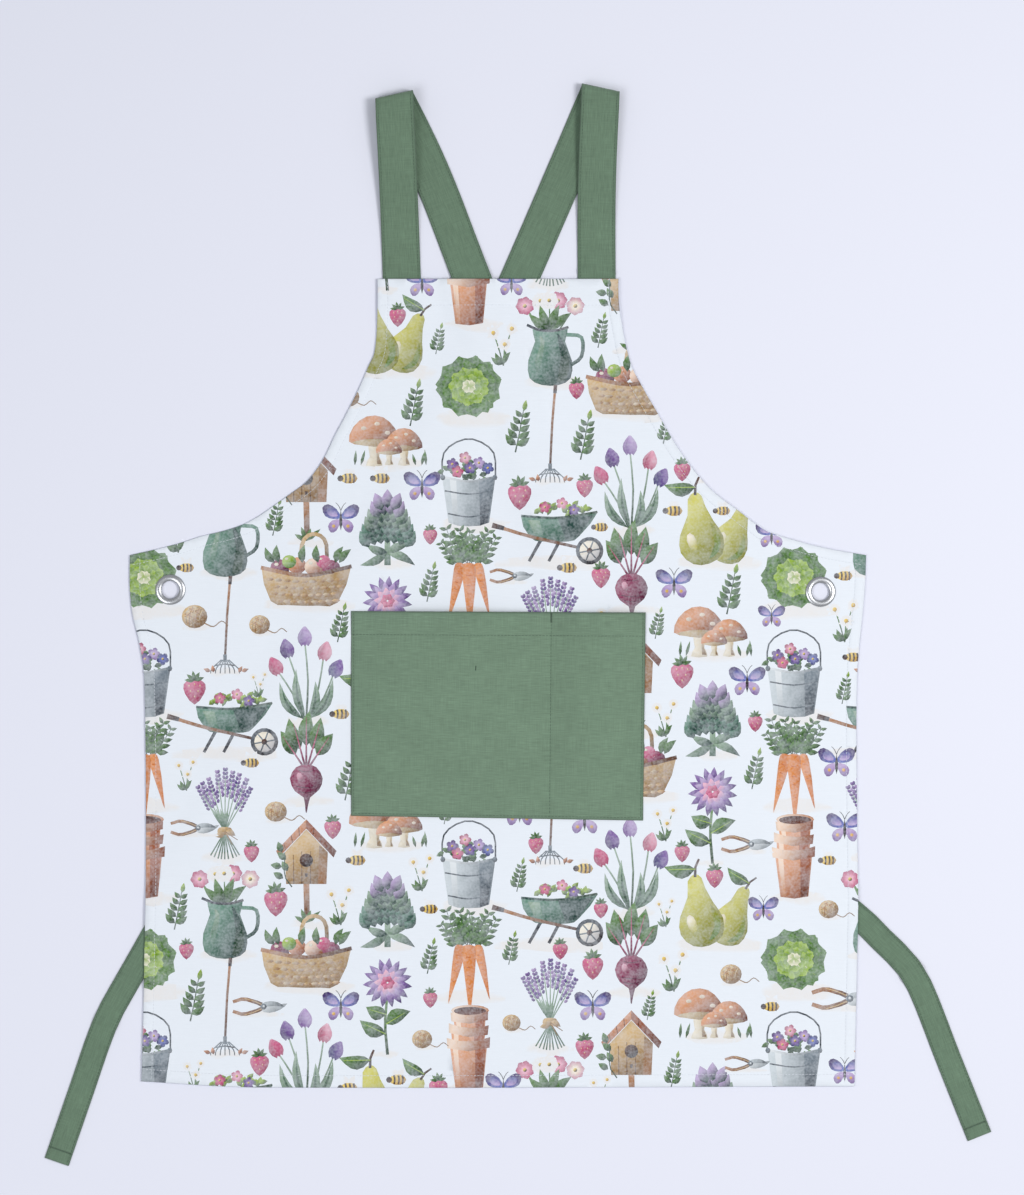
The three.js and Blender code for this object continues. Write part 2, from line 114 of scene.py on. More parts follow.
class Shader:
    """A material's nodes, each made with a value or a link for its named inputs."""

    def __init__(self, name):
        self.material = bpy.data.materials.new(name)
        self.material.use_nodes = True
        self.nodes = self.material.node_tree.nodes
        self.surface = self.nodes["Principled BSDF"]

    def give(self, socket, value):
        """Sets a socket to a value, or links it to another node's output."""
        if isinstance(value, bpy.types.NodeSocket):
            self.material.node_tree.links.new(value, socket)
        else:
            socket.default_value = value

    def add(self, kind, inputs, **settings):
        node = self.nodes.new("ShaderNode" + kind)
        for setting, value in settings.items():
            setattr(node, setting, value)
        for name, value in inputs.items():
            self.give(node.inputs[name], value)
        return node

    def place(self):
        return self.add("TexCoord", {}).outputs["Object"]

    def math(self, operation, *values):
        return self.add("Math", dict(enumerate(values)), operation=operation).outputs[0]

    def noise(self, vector, scales, detail=2.0):
        """Noise from 0 to 1 with its own number of waves per metre each way."""
        placed = self.add("Mapping", {"Scale": scales, "Vector": vector}).outputs["Vector"]
        return self.add("TexNoise", {"Scale": 1.0, "Detail": detail, "Vector": placed}).outputs["Fac"]

    def weave(self, vector, pitch):
        """A plain weave's relief: threads each way that rise over and under one another."""
        parts = self.add("SeparateXYZ", {"Vector": vector}).outputs
        turns = 2 * math.pi / pitch
        warp, weft = (self.math("SINE", self.math("MULTIPLY", parts[axis], turns)) for axis in "XY")
        return self.math("MULTIPLY", warp, weft)

    def bump(self, height, distance, strength, before=None):
        inputs = {"Distance": distance, "Strength": strength, "Height": height}
        if before is not None:
            inputs["Normal"] = before
        return self.add("Bump", inputs).outputs["Normal"]

    def stretched(self, value, span, low, high):
        """A value's span stretched to run from low to high."""
        inputs = {"Value": value, "From Min": span[0], "From Max": span[1], "To Min": low, "To Max": high}
        return self.add("MapRange", inputs).outputs["Result"]

    def mixed(self, kind, share, first, second):
        node = self.add("Mix", {}, data_type="RGBA", blend_type=kind)
        wanted = {"Factor_Float": share, "A_Color": first, "B_Color": second}
        for socket in node.inputs:
            if socket.identifier in wanted:
                self.give(socket, wanted[socket.identifier])
        return next(socket for socket in node.outputs if socket.identifier == "Result_Color")

    def toned(self, colour, value, low, high):
        """A colour made darker and lighter by a noise value."""
        tone = self.stretched(value, (0.3, 0.7), low, high)
        grey = self.add("CombineColor", {"Red": tone, "Green": tone, "Blue": tone}).outputs["Color"]
        return self.mixed("MULTIPLY", 1.0, grey, colour)

    def coated(self, inputs):
        """The finished material, with its surface's inputs."""
        for name, value in inputs.items():
            self.give(self.surface.inputs[name], value)
        return self.material


# Floor and light

FLOOR_REACH = 6.0
LIGHTS = {
    "softbox_right": {"place": (1.6, 0.1, 2.7), "size": 1.1, "power": 51, "colour": (1.0, 0.99, 0.98)},
    "softbox_left": {"place": (-1.6, -0.9, 2.8), "size": 1.8, "power": 30, "colour": (0.97, 0.98, 1.0)},
}
WORLD_COLOUR = (0.95, 0.97, 1.0)
WORLD_STRENGTH = 0.42


def make_floor():
    mesh = bpy.data.meshes.new("floor")
    corners = [(x * FLOOR_REACH, y * FLOOR_REACH, 0) for x, y in ((-1, -1), (1, -1), (1, 1), (-1, 1))]
    mesh.from_pydata(corners, [], [(0, 1, 2, 3)])
    floor = bpy.data.objects.new("floor", mesh)
    bpy.context.scene.collection.objects.link(floor)
    inputs = {"Base Color": (*FLOOR_COLOUR, 1), "Roughness": 0.9, "Specular IOR Level": 0.1}
    mesh.materials.append(Shader("floor").coated(inputs))


def make_light(name, place, size, power, colour):
    data = bpy.data.lights.new(name, "AREA")
    data.shape = "DISK"
    data.size = size
    data.energy = power
    data.color = colour
    light = bpy.data.objects.new(name, data)
    light.location = place
    light.rotation_euler = (-Vector(place)).to_track_quat("-Z", "Y").to_euler()
    bpy.context.scene.collection.objects.link(light)


def make_world():
    world = bpy.data.worlds.new("studio")
    world.use_nodes = True
    background = world.node_tree.nodes["Background"]
    background.inputs["Color"].default_value = (*WORLD_COLOUR, 1)
    background.inputs["Strength"].default_value = WORLD_STRENGTH
    bpy.context.scene.world = world


# Small tools

def smooth(share):
    held = np.clip(share, 0, 1)
    return held * held * (3 - 2 * held)


def waves(places, length, layer):
    """Smooth noise from -1 to 1 at places in millimetres, from one layer of the noise."""
    flat = np.asarray(places)[:, :2]
    return np.array([noise.noise(Vector((x / length, y / length, layer))) for x, y in flat])


def linear(colour):
    """Red, green and blue from 0 to 255, as the shader's linear light."""
    shares = [part / 255 for part in colour]
    return tuple(s / 12.92 if s <= 0.04045 else ((s + 0.055) / 1.055) ** 2.4 for s in shares)


FLOOR_COLOUR = linear((228, 230, 242))
COTTON_WHITE = linear((233, 239, 247))
CANVAS_GREEN = linear((118, 144, 121))
# The straps' and ties' green is the pocket's canvas green made darker: painted shade, as if less light fell
# on them.
SHADED_BAND_GREEN = linear((108, 134, 111))
# Green of the painted shade along the edges of the bands and the pocket, and over a tie's hem stitches.
EDGE_SHADE_GREEN = linear((66, 88, 72))

make_floor()
for light_name, light in LIGHTS.items():
    make_light(light_name, **light)
make_world()
bpy.context.scene.view_settings.view_transform = "Standard"


def add_mesh(name, points, faces, material):
    mesh = bpy.data.meshes.new(name)
    mesh.from_pydata([tuple(co) for co in np.asarray(points, float) * MM], [], faces)
    mesh.update()
    mesh.materials.append(material)
    mesh.polygons.foreach_set("use_smooth", [True] * len(mesh.polygons))
    piece = bpy.data.objects.new(name, mesh)
    bpy.context.scene.collection.objects.link(piece)
    return piece


def box_mm(node):
    """A CAD node's lowest and highest corners in millimetres."""
    return [np.array(corner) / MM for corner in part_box(node)]


def welded(node):
    """A CAD node's mesh in millimetres with its corners merged."""
    work = bmesh.new()
    work.from_mesh(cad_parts[node].data)
    bmesh.ops.scale(work, vec=(1 / MM, 1 / MM, 1 / MM), verts=work.verts)
    bmesh.ops.remove_doubles(work, verts=work.verts, dist=0.005)
    work.normal_update()
    return work


def arc_lengths(points):
    steps = np.linalg.norm(np.diff(points, axis=0), axis=1)
    return np.concatenate([[0], np.cumsum(steps)])


def resample(points, step):
    """Points evenly spaced along a smooth curve through the given ones, ends kept."""
    points = np.asarray(points, float)
    lengths = arc_lengths(points)
    count = max(1, round(lengths[-1] / step))
    wanted = np.linspace(0, lengths[-1], count + 1)
    padded = np.vstack([2 * points[0] - points[1], points, 2 * points[-1] - points[-2]])
    made = []
    for length in wanted:
        index = min(np.searchsorted(lengths, length, side="right") - 1, len(points) - 2)
        span = lengths[index + 1] - lengths[index]
        t = (length - lengths[index]) / span
        before, start, end, after = padded[index : index + 4]
        start_reach = np.linalg.norm(end - start) + np.linalg.norm(start - before)
        end_reach = np.linalg.norm(after - end) + np.linalg.norm(end - start)
        start_pull = span * (end - before) / max(span, start_reach)
        end_pull = span * (after - start) / max(span, end_reach)
        made.append(
            (2 * t**3 - 3 * t**2 + 1) * start
            + (t**3 - 2 * t**2 + t) * start_pull
            + (3 * t**2 - 2 * t**3) * end
            + (t**3 - t**2) * end_pull
        )
    return np.array(made)


# The body's outline, taken from the shadow that its solid casts on the floor

CORNER_TURN = 35
LEAST_TURN = 0.002
SPIKE_TURN = 3
LEAST_SIDE = 0.05


def boundary_loops(triangles):
    """Chains of corners along the open edges of a set of triangles."""
    used = {pair for corners in triangles for pair in zip(corners, corners[1:] + corners[:1])}
    following = {here: there for here, there in sorted(used) if (there, here) not in used}
    loops = []
    while following:
        start, here = following.popitem()
        loop = [start]
        while here != start:
            loop.append(here)
            here = following.pop(here)
        loops.append(loop)
    return sorted(loops, key=len, reverse=True)


def shadow_outline(node):
    work = welded(node)
    up_faces = [face for face in work.faces if face.normal.z > 0.05]
    used = sorted({corner.index for face in up_faces for corner in face.verts})
    place_of = {index: place for place, index in enumerate(used)}
    work.verts.ensure_lookup_table()
    flat = [work.verts[index].co.xy for index in used]
    polygons = [[place_of[corner.index] for corner in face.verts] for face in up_faces]
    work.free()
    points, _, triangles, *_ = delaunay_2d_cdt(flat, [], polygons, 1, 0.01)
    loops = boundary_loops(triangles)
    longest = max(loops, key=lambda loop: arc_lengths(np.array([points[i] for i in loop]))[-1])
    outline = np.array([points[index] for index in longest])
    for _ in range(3):
        turn = turns_of(outline)
        outline = outline[(np.abs(turn) > LEAST_TURN) & (np.abs(turn) < SPIKE_TURN)]
        apart = np.linalg.norm(outline - np.roll(outline, 1, axis=0), axis=1)
        outline = outline[apart > LEAST_SIDE]
    return outline


def turns_of(outline):
    """How far a closed line turns at each of its points."""
    before = outline - np.roll(outline, 1, axis=0)
    after = np.roll(outline, -1, axis=0) - outline
    crossed = before[:, 0] * after[:, 1] - before[:, 1] * after[:, 0]
    return np.arctan2(crossed, (before * after).sum(axis=1))


def split_sides(outline):
    """The outline's sides between its sharp corners, round from the bib's top edge."""
    turn = turns_of(outline)
    corners = [index for index in range(len(outline)) if abs(turn[index]) > math.radians(CORNER_TURN)]
    runs = []
    for start, end in zip(corners, corners[1:] + [corners[0] + len(outline)]):
        runs.append(outline[[index % len(outline) for index in range(start, end + 1)]])
    top = max(range(len(runs)), key=lambda index: runs[index][:, 1].mean())
    names = ["bib", "left_armhole", "left_side", "bottom", "right_side", "right_armhole"]
    assert len(runs) == len(names), [len(run) for run in runs]
    return {name: runs[(top + index) % len(runs)] for index, name in enumerate(names)}


body_sides = split_sides(shadow_outline("body_panel"))
HEMS = {"bib": BIB_HEM, "bottom": BOTTOM_HEM}


# How high the cloth lies over what is under it, from the underside of its solid

FIELD_STEP = 4.0
FIELD_MARGIN = 20
FILL_PASSES = 8
ROUND_PASSES = 3


class Field:
    """Heights on an even grid over a node's box."""

    def __init__(self, node, spread):
        low, high = box_mm(node)
        self.low = low[:2] - FIELD_MARGIN
        self.count = np.ceil((high[:2] + FIELD_MARGIN - self.low) / FIELD_STEP).astype(int) + 1
        work = welded(node)
        tree = BVHTree.FromBMesh(work)
        work.free()
        heights = np.full(self.count, np.nan)
        for column in range(self.count[0]):
            for row in range(self.count[1]):
                x, y = self.low + np.array([column, row]) * FIELD_STEP
                hit, normal, *_ = tree.ray_cast(Vector((x, y, -5)), Vector((0, 0, 1)))
                if hit is not None:
                    heights[column, row] = hit.z
        self.heights = self.spread_out(heights, spread)

    def spread_out(self, heights, spread):
        """Fills what lies past the edges, widens each rise a little and rounds it off."""
        for _ in range(FILL_PASSES):
            around = [np.roll(heights, shift, axis) for axis in (0, 1) for shift in (-1, 1)]
            filled = np.fmax.reduce(around)
            heights = np.where(np.isnan(heights), filled, heights)
        heights = np.nan_to_num(heights, nan=float(np.nanmin(heights)))
        for _ in range(spread):
            for axis in (0, 1):
                beside = [np.roll(heights, shift, axis) for shift in (1, -1)]
                heights = np.maximum.reduce([heights, *beside])
        for _ in range(ROUND_PASSES):
            for axis in (0, 1):
                heights = (np.roll(heights, 1, axis) + 2 * heights + np.roll(heights, -1, axis)) / 4
        return heights

    def at(self, places):
        grid = (np.asarray(places, float)[:, :2] - self.low) / FIELD_STEP
        grid = np.clip(grid, 0, self.count - 1.001)
        cell = grid.astype(int)
        share = grid - cell
        total = 0
        for right in (0, 1):
            for up in (0, 1):
                weight = np.abs(1 - right - share[:, 0]) * np.abs(1 - up - share[:, 1])
                total = total + weight * self.heights[cell[:, 0] + right, cell[:, 1] + up]
        return total


body_field = Field("body_panel", 1)


# The slight rise and fall of cloth that was smoothed out by hand: length, height and layer of its noise
UNDULATION = ((120, 0.55, 3.1), (38, 0.14, 8.4))


def undulation(places):
    """How far such cloth rises at each place."""
    return sum(height * (1 + waves(places, length, layer)) for length, height, layer in UNDULATION)


EYELETS = {node: sum(box_mm(node)) / 2 for node in ("eyelet_left", "eyelet_right")}
eyelet_low, eyelet_high = box_mm("eyelet_right")
EYELET_RADIUS = (eyelet_high[0] - eyelet_low[0]) / 2
EYELET_HOLE = 10.0
EYELET_CALM = 30


def distance_to(places, run):
    """How far each place is from a line of points, in plan."""
    starts, ends = run[:-1], run[1:]
    spans = ends - starts
    squares = (spans**2).sum(axis=1)
    nearest = np.full(len(places), np.inf)
    for start, span, square in zip(starts, spans, squares):
        offset = places - start
        share = np.clip((offset @ span) / square, 0, 1)
        nearest = np.minimum(nearest, np.linalg.norm(offset - share[:, None] * span, axis=1))
    return nearest


def away_from_eyelets(places):
    return np.min([np.linalg.norm(places - middle[:2], axis=1) for middle in EYELETS.values()], axis=0)


def cloth_height(places):
    """Height of the cloth's underside, hems aside."""
    places = np.asarray(places, float)[:, :2]
    calm = smooth((away_from_eyelets(places) - EYELET_RADIUS) / EYELET_CALM)
    return FLOOR_CLEARANCE + body_field.at(places) + undulation(places) * calm


# Print: watercolour garden motifs, in millimetres from each motif's middle

PAINTS = {
    "leaf": (96, 136, 70), "leaf_dark": (48, 78, 52), "lime": (166, 196, 72),
    "lime_dark": (92, 138, 44), "sage": (148, 172, 150), "sage_dark": (84, 116, 96),
    "teal": (112, 152, 134), "teal_dark": (42, 74, 68), "clay": (226, 164, 124),
    "clay_dark": (158, 92, 62), "clay_pale": (243, 216, 194), "brick": (122, 66, 46),
    "zinc": (204, 213, 218), "zinc_dark": (116, 128, 138), "zinc_deep": (66, 74, 84),
    "steel": (224, 229, 232), "wood": (176, 128, 92), "wood_dark": (92, 58, 42), "tan": (214, 182, 132),
    "tan_dark": (148, 112, 70), "purple": (142, 108, 176), "purple_dark": (82, 56, 122),
    "lilac": (196, 172, 216), "blue": (98, 108, 186), "blue_dark": (52, 56, 122),
    "pink": (216, 112, 150), "rose": (238, 180, 200), "rose_dark": (186, 70, 112),
    "carrot": (240, 160, 84), "carrot_dark": (206, 104, 46), "cream": (246, 238, 220),
    "cream_dark": (216, 200, 170), "ink": (54, 48, 52), "yellow": (240, 208, 96),
    "yellow_dark": (206, 158, 58), "pear": (214, 210, 112), "pear_dark": (150, 152, 62),
    "beet": (150, 58, 96), "beet_dark": (86, 28, 60), "wash": (233, 229, 226),
    "wash_dark": (214, 210, 210),
}


def moved(points, x=0.0, y=0.0, turn=0.0, size=1.0):
    angle = math.radians(turn)
    spin = np.array([[math.cos(angle), math.sin(angle)], [-math.sin(angle), math.cos(angle)]])
    return np.asarray(points, float) * size @ spin + np.array([x, y])


def curve_point(before, start, end, after, share):
    """A point on a smooth curve's way from one of its points to the next."""
    return 0.5 * (2 * start + (end - before) * share
                  + (2 * before - 5 * start + 4 * end - after) * share**2
                  + (3 * start - before - 3 * end + after) * share**3)


def oval(x, y, wide, tall, turn=0.0, count=12):
    angles = np.arange(count) * 2 * math.pi / count
    return moved(np.column_stack([wide / 2 * np.cos(angles), tall / 2 * np.sin(angles)]), x, y, turn)


def leaf(x, y, length, width, turn, bend=0.0, count=4):
    """A pointed leaf that grows from a place."""
    share = np.linspace(0, 1, count + 1)
    spread = width / 2 * np.sin(math.pi * share**0.8)
    middle = bend * length * np.sin(math.pi * share)
    lower = np.column_stack([share * length, middle - spread])
    upper = np.column_stack([share * length, middle + spread])[::-1]
    return moved(np.vstack([lower, upper[1:-1]]), x, y, turn)


def rounded(points, count=3):
    """A smooth closed outline through a few points."""
    points = np.asarray(points, float)
    before, after, far = np.roll(points, 1, 0), np.roll(points, -1, 0), np.roll(points, -2, 0)
    around = list(zip(before, points, after, far))
    return np.array([curve_point(*near, step / count) for near in around for step in range(count)])


def stroke(points, start_width, end_width, count=8):
    """A brush stroke along a curve through a few points."""
    points = np.asarray(points, float)
    if len(points) > 2:
        padded = np.vstack([2 * points[0] - points[1], points, 2 * points[-1] - points[-2]])
        made = []
        for share in np.linspace(0, len(points) - 1, count):
            index = min(int(share), len(points) - 2)
            made.append(curve_point(*padded[index : index + 4], share - index))
        points = np.array(made)
    along = np.gradient(points, axis=0)
    along /= np.linalg.norm(along, axis=1)[:, None]
    half = np.linspace(start_width, end_width, len(points))[:, None] / 2
    across = np.column_stack([-along[:, 1], along[:, 0]]) * half
    return np.vstack([points - across, (points + across)[::-1]])


FROND_PAIRS = 5


class Motif:
    """Shapes laid over one another, each with a light and a dark side."""

    def __init__(self, seed):
        self.shapes = []
        self.random = random.Random(seed)

    def paint(self, outline, light, dark=None, turn=-50):
        self.shapes.append((np.asarray(outline, float), PAINTS[light], PAINTS[dark or light], turn))

    def blob(self, outline, *paints):
        self.paint(rounded(outline, 2), *paints)

    def line(self, points, widths, *paints):
        """A brush stroke with its width at both ends and, on a curve, its number of points."""
        self.paint(stroke(points, *widths), *paints)

    def part(self, outline, place, *paints):
        """An outline moved to a place: x, y, a turn and a size."""
        self.paint(moved(outline, *place), *paints)

    def between(self, low, high):
        return self.random.uniform(low, high)

    def wash(self, x, y, wide, tall):
        points = oval(x, y, wide, tall, count=9)
        points *= 1 + np.array([[self.between(-0.06, 0.06)] for _ in points])
        self.blob(points, "wash", "wash_dark", -90)

    def frond(self, x, y, length, turn, light, dark):
        tip = moved([(length, 0)], x, y, turn)[0]
        self.line([(x, y), tip], (0.9, 0.4), dark)
        for pair in range(1, FROND_PAIRS + 1):
            share = pair / (FROND_PAIRS + 0.4)
            place = moved([(length * share, 0)], x, y, turn)[0]
            reach = length * 0.34 * (1.1 - 0.6 * share)
            for side in (-1, 1):
                way = turn + side * self.between(38, 58)
                self.paint(leaf(*place, reach, reach * 0.5, way, count=3), light, dark)

    def tuft(self, x, y, wide, tall, count, light, dark, size):
        """A round mass of small leaves, darker low down."""
        for index in range(count):
            angle = self.between(0, 360)
            reach = math.sqrt(self.between(0.02, 1))
            place_x = x + math.cos(math.radians(angle)) * reach * wide / 2
            place_y = y + math.sin(math.radians(angle)) * reach * tall / 2
            low_down = place_y < y - tall * 0.12 and self.random.random() < 0.7
            shade = (dark, dark) if low_down else (light, dark)
            self.paint(leaf(place_x, place_y, size, size * 0.6, self.between(0, 360), count=3), *shade)


def carrots(m):
    m.wash(2, -30, 56, 12)
    roots = ((-13, -12, 46, 9), (14, 13, 43, 8), (0, 1, 54, 11))
    for x, lean, _, _ in roots:
        for way in (66, 84, 100, 118):
            m.frond(x * 0.5, 8, m.between(24, 34), way - lean * 0.7 + m.between(-5, 5), "leaf", "leaf_dark")
    for x, lean, length, width in roots:
        place = (x * 0.5, 10, lean)
        half = width / 2
        root = [(-half * 0.7, 1), (-half, -4), (-half * 0.72, -length * 0.4), (-half * 0.3, -length * 0.8),
                (0, -length), (half * 0.35, -length * 0.75), (half * 0.8, -length * 0.4), (half, -4),
                (half * 0.6, 1)]
        m.part(rounded(root, 2), place, "carrot", "carrot_dark", 0)
        for share in (0.15, 0.3, 0.42, 0.6):
            mark = [(-half * 0.5 * (1 - share), -length * share),
                    (half * 0.4 * (1 - share), -length * share - 0.6)]
            m.part(stroke(mark, 0.7, 0.3, 2), place, "carrot_dark")


def bucket(m):
    m.wash(6, -33, 58, 13)
    m.line([(-21, 2), (-19, 24), (0, 34), (19, 24), (21, 2)], (1.3, 1.3, 14), "zinc_deep")
    m.tuft(0, 10, 40, 16, 34, "leaf", "leaf_dark", 7)
    for x, y, light, dark in ((-13, 14, "purple", "purple_dark"), (-3, 19, "rose", "rose_dark"),
                              (8, 15, "lilac", "purple"), (15, 11, "blue", "blue_dark"),
                              (1, 11, "purple", "blue_dark"), (-9, 8, "pink", "rose_dark")):
        flower(m, x, y, 4.6, light, dark)
    side = [(-21, 4), (-16, -32), (-9, -34.5), (0, -35), (9, -34.5), (16, -32), (21, 4), (10, 1.5), (0, 1),
            (-10, 1.5)]
    m.paint(side, "zinc", "zinc_dark", -10)
    m.paint([(8, 1.6), (19.5, 3), (15, -32), (9, -34)], "zinc_dark", "zinc_deep", -60)
    m.paint([(-15, 2), (-10, 1.6), (-8, -34), (-12, -33.4)], "steel", "zinc")
    for y, reach in ((-7, 18.9), (-25, 16.4)):
        m.line([(-reach, y), (0, y - 2.6), (reach, y)], (1.1, 1.1, 7), "zinc_deep", "zinc_dark")
    m.line([(-21, 4), (0, 0.4), (21, 4)], (1.8, 1.8, 9), "steel", "zinc_dark")
    for x in (-20.5, 20.5):
        m.paint(oval(x, 3.5, 4, 4.5, count=8), "zinc_dark", "zinc_deep")


def flower(m, x, y, radius, light, dark, petals=5):
    start = m.between(0, 72)
    for petal in range(petals):
        way = start + petal * 360 / petals
        place = moved([(radius * 0.55, 0)], x, y, way)[0]
        m.paint(oval(*place, radius * 1.15, radius * 0.95, way, count=7), light, dark, way)
    m.paint(oval(x, y, radius * 0.5, radius * 0.5, count=6), "yellow", "ink")


def lavender(m):
    m.wash(0, -33, 40, 9)
    for index in range(9):
        way = 90 + (index - 4) * 8 + m.between(-2, 2)
        length = 52 - abs(index - 4) * 2.5 + m.between(-3, 3)
        foot = moved([(-22, 0)], 0, -12, way)[0]
        tip = moved([(length - 8, 0)], 0, -12, way)[0]
        m.line([foot, (0, -12), tip], (1.1, 0.8, 3), "sage", "sage_dark")
        for bud in range(7):
            along = length - 20 + bud * 3.1
            for side in (-1, 1):
                place = moved([(along, side * (2.1 - bud * 0.22))], 0, -12, way)[0]
                shade = m.random.choice([("lilac", "purple"), ("purple", "purple_dark"),
                                         ("purple", "blue_dark")])
                m.paint(oval(*place, 3.6, 2.5, way + side * 25, count=6), *shade)
    for index in range(6):
        m.paint(leaf(0, -10, m.between(14, 22), 3, m.between(50, 130), count=3), "sage", "sage_dark")
    m.paint(rounded([(-4.5, -9), (4.5, -9), (5, -14), (-5, -14)], 3), "tan", "tan_dark")
    for way in (205, 338):
        m.paint(leaf(0, -12, 9, 5.5, way, 0.1, 4), "tan", "tan_dark")
        m.line([(0, -12), moved([(9, -8)], 0, -12, way * 0.2 - 60)[0]], (1.1, 0.6, 2), "tan_dark")


def lettuce(m):
    m.wash(3, -21, 52, 12)
    for count, reach, size, shade in ((11, 17, 19, ("leaf", "leaf_dark")),
                                      (10, 12, 17, ("lime_dark", "leaf_dark")),
                                      (9, 7.5, 14, ("lime", "lime_dark")), (7, 3.5, 10, ("lime", "leaf")),
                                      (4, 1.2, 6, ("cream", "lime"))):
        for index in range(count):
            way = index * 360 / count + m.between(-9, 9)
            place = moved([(reach * 0.55, 0)], 0, 0, way)[0] * np.array([1, 0.86])
            frill = []
            for step in range(9):
                angle = math.radians(-80 + step * 20)
                far = size * (0.54 + 0.13 * (step % 2)) * (0.62 + 0.38 * math.cos(angle))
                frill.append((far * math.cos(angle), far * math.sin(angle) * 1.5))
            m.paint(moved([(-size * 0.3, 0)] + frill, *place, way), *shade, way + 180)
            vein = moved([(0, 0), (size * 0.45, 0)], *place, way)
            m.line(vein, (0.8, 0.3, 2), "lime" if count > 9 else "cream")


def pots(m):
    m.wash(4, -27, 50, 11)
    m.paint(oval(1, 35, 30, 9, count=16), "clay_pale", "clay", 30)
    m.paint(oval(1, 34.6, 26, 6.6, count=14), "brick", "ink", 90)
    for place in ((1, 17, 2, 0.9), (-1, 6, -3, 0.96), (0, -6, 1, 1.04)):
        wall = [(-14, 12), (-10.5, -19), (0, -20.5), (10.5, -19), (14, 12), (0, 10)]
        m.part(wall, place, "clay", "clay_dark", -40)
        m.part([(5, 10.5), (13, 11), (9.8, -18), (4.6, -19.5)], place, "clay_dark", "brick", -60)
        m.part([(-12, 11), (-8, 11), (-6.6, -18.6), (-9, -18)], place, "clay_pale", "clay", -80)
        rim = [(-16.5, 19), (-16, 11), (0, 8.5), (16, 11), (16.5, 19), (8, 16.6), (0, 16), (-8, 16.6)]
        m.part(rim, place, "clay_pale", "clay_dark", -30)


def barrow(m):
    m.wash(0, -25, 84, 13)
    m.line([(-6, -6), (-16, -24)], (2.6, 2.2, 2), "zinc_deep", "ink")
    m.line([(8, -7), (-1, -24)], (2.6, 2.2, 2), "zinc_deep", "ink")
    m.tuft(6, 13, 42, 14, 26, "lime", "leaf_dark", 7)
    for x, y, light, dark in ((-4, 17, "pink", "rose_dark"), (9, 20, "rose", "pink"),
                              (18, 15, "purple", "purple_dark")):
        flower(m, x, y, 4.2, light, dark)
    tray = [(-22, 10), (-15, -6), (-6, -9), (14, -9), (22, -5), (36, 13), (20, 10.5), (0, 9.5)]
    m.blob(tray, "teal", "teal_dark", -70)
    m.paint([(6, 8.5), (33, 11), (21, -5), (12, -8)], "teal_dark", "teal_dark")
    m.paint([(-17, 7.5), (-8, 7), (-5, -6), (-12, -4)], "sage", "teal")
    m.line([(-22, 10.5), (6, 9), (36, 13.5)], (1.8, 1.8, 8), "teal_dark", "leaf_dark")
    m.line([(-42, 3), (-12, -6), (28, -15)], (2.8, 2.2, 7), "wood", "wood_dark")
    m.line([(-44, 3.4), (-35, 1)], (4, 3.4, 2), "wood_dark", "ink")
    wheel = (30, -16)
    m.paint(oval(*wheel, 21, 21, count=18), "zinc_deep", "ink")
    m.paint(oval(*wheel, 15.5, 15.5, count=14), "cream", "wash_dark")
    for way in (10, 70, 130):
        spoke = moved([(-7.5, 0), (7.5, 0)], *wheel, way)
        m.line(spoke, (1.1, 1.1, 2), "zinc_dark", "zinc_deep")
    m.paint(oval(*wheel, 4.6, 4.6, count=8), "wood_dark", "ink")


def bird_house(m):
    m.line([(0, -12), (0.6, -42)], (4.2, 3.8, 2), "wood", "wood_dark")
    m.wash(3, -42, 34, 8)
    for way in (40, 70, 110, 150):
        m.paint(leaf(0, -41, m.between(9, 14), 3.6, way, count=3), "leaf", "leaf_dark")
    wall = [(-15, 8), (-14, -14), (14, -14), (15, 8), (0, 24)]
    m.paint(wall, "tan", "tan_dark", -60)
    for x in (-9, -3.2, 3, 9):
        m.line([(x, 10 - abs(x) * 0.4), (x * 0.96, -14)], (0.6, 0.6, 2), "tan_dark", "wood_dark")
    m.paint([(8, -14), (14, -14), (15, 8), (9, 13)], "tan_dark", "wood")
    m.paint(oval(0, 2.5, 9.5, 9.5, count=12), "wood_dark", "ink")
    m.line([(0, -6.5), (0, -9)], (2.2, 1.6, 2), "wood_dark", "ink")
    for side, light, dark in ((-1, "clay", "clay_dark"), (1, "clay_dark", "brick")):
        m.paint([(0, 31), (side * 21, 9), (side * 19, 4.5), (0, 24.5)], light, dark, -60)
        for step in (0.25, 0.5, 0.75):
            line = [(side * 21 * step, 31 - 22 * step), (side * 19 * step, 24.5 - 20 * step)]
            m.line(line, (0.6, 0.5, 2), "brick", "wood_dark")
    for x, y, way in ((-16, -10, 150), (-13, -5, 120), (-17, -2, 170), (-14, 3, 140), (-17, 8, 110)):
        m.paint(leaf(x, y, 8, 5, way, count=4), "leaf", "leaf_dark")
    m.line([(-10, -16), (-15, -8), (-15, 8)], (0.9, 0.6, 6), "leaf_dark")


def pears(m):
    m.wash(4, -21, 58, 12)
    body = [(0, 24), (-5, 20), (-6.5, 10), (-13, -2), (-14, -13), (-7, -21), (3, -22), (12, -17), (14, -6),
            (9, 5), (5.5, 14), (4, 21)]
    shade = [(7, 4), (12, -6), (10, -15), (3, -19), (8, -10)]
    for place in ((13, -3, -24, 0.86), (-8, 0, 8, 1)):
        m.part(rounded(body, 2), place, "pear", "pear_dark", -40)
        m.part(rounded(shade, 2), place, "pear_dark", "lime_dark")
        m.part(oval(-6, -7, 6, 12, 12, 9), place, "cream", "pear")
        m.part(stroke([(0, 22), (1, 28), (4, 33)], 1.8, 1.3, 5), place, "wood_dark", "ink")
        m.part(leaf(1, 27, 20, 9, 168, 0.12, 5), place, "leaf", "leaf_dark")
        m.part(stroke([(1, 27), (-16, 29)], 0.7, 0.4, 2), place, "lime")


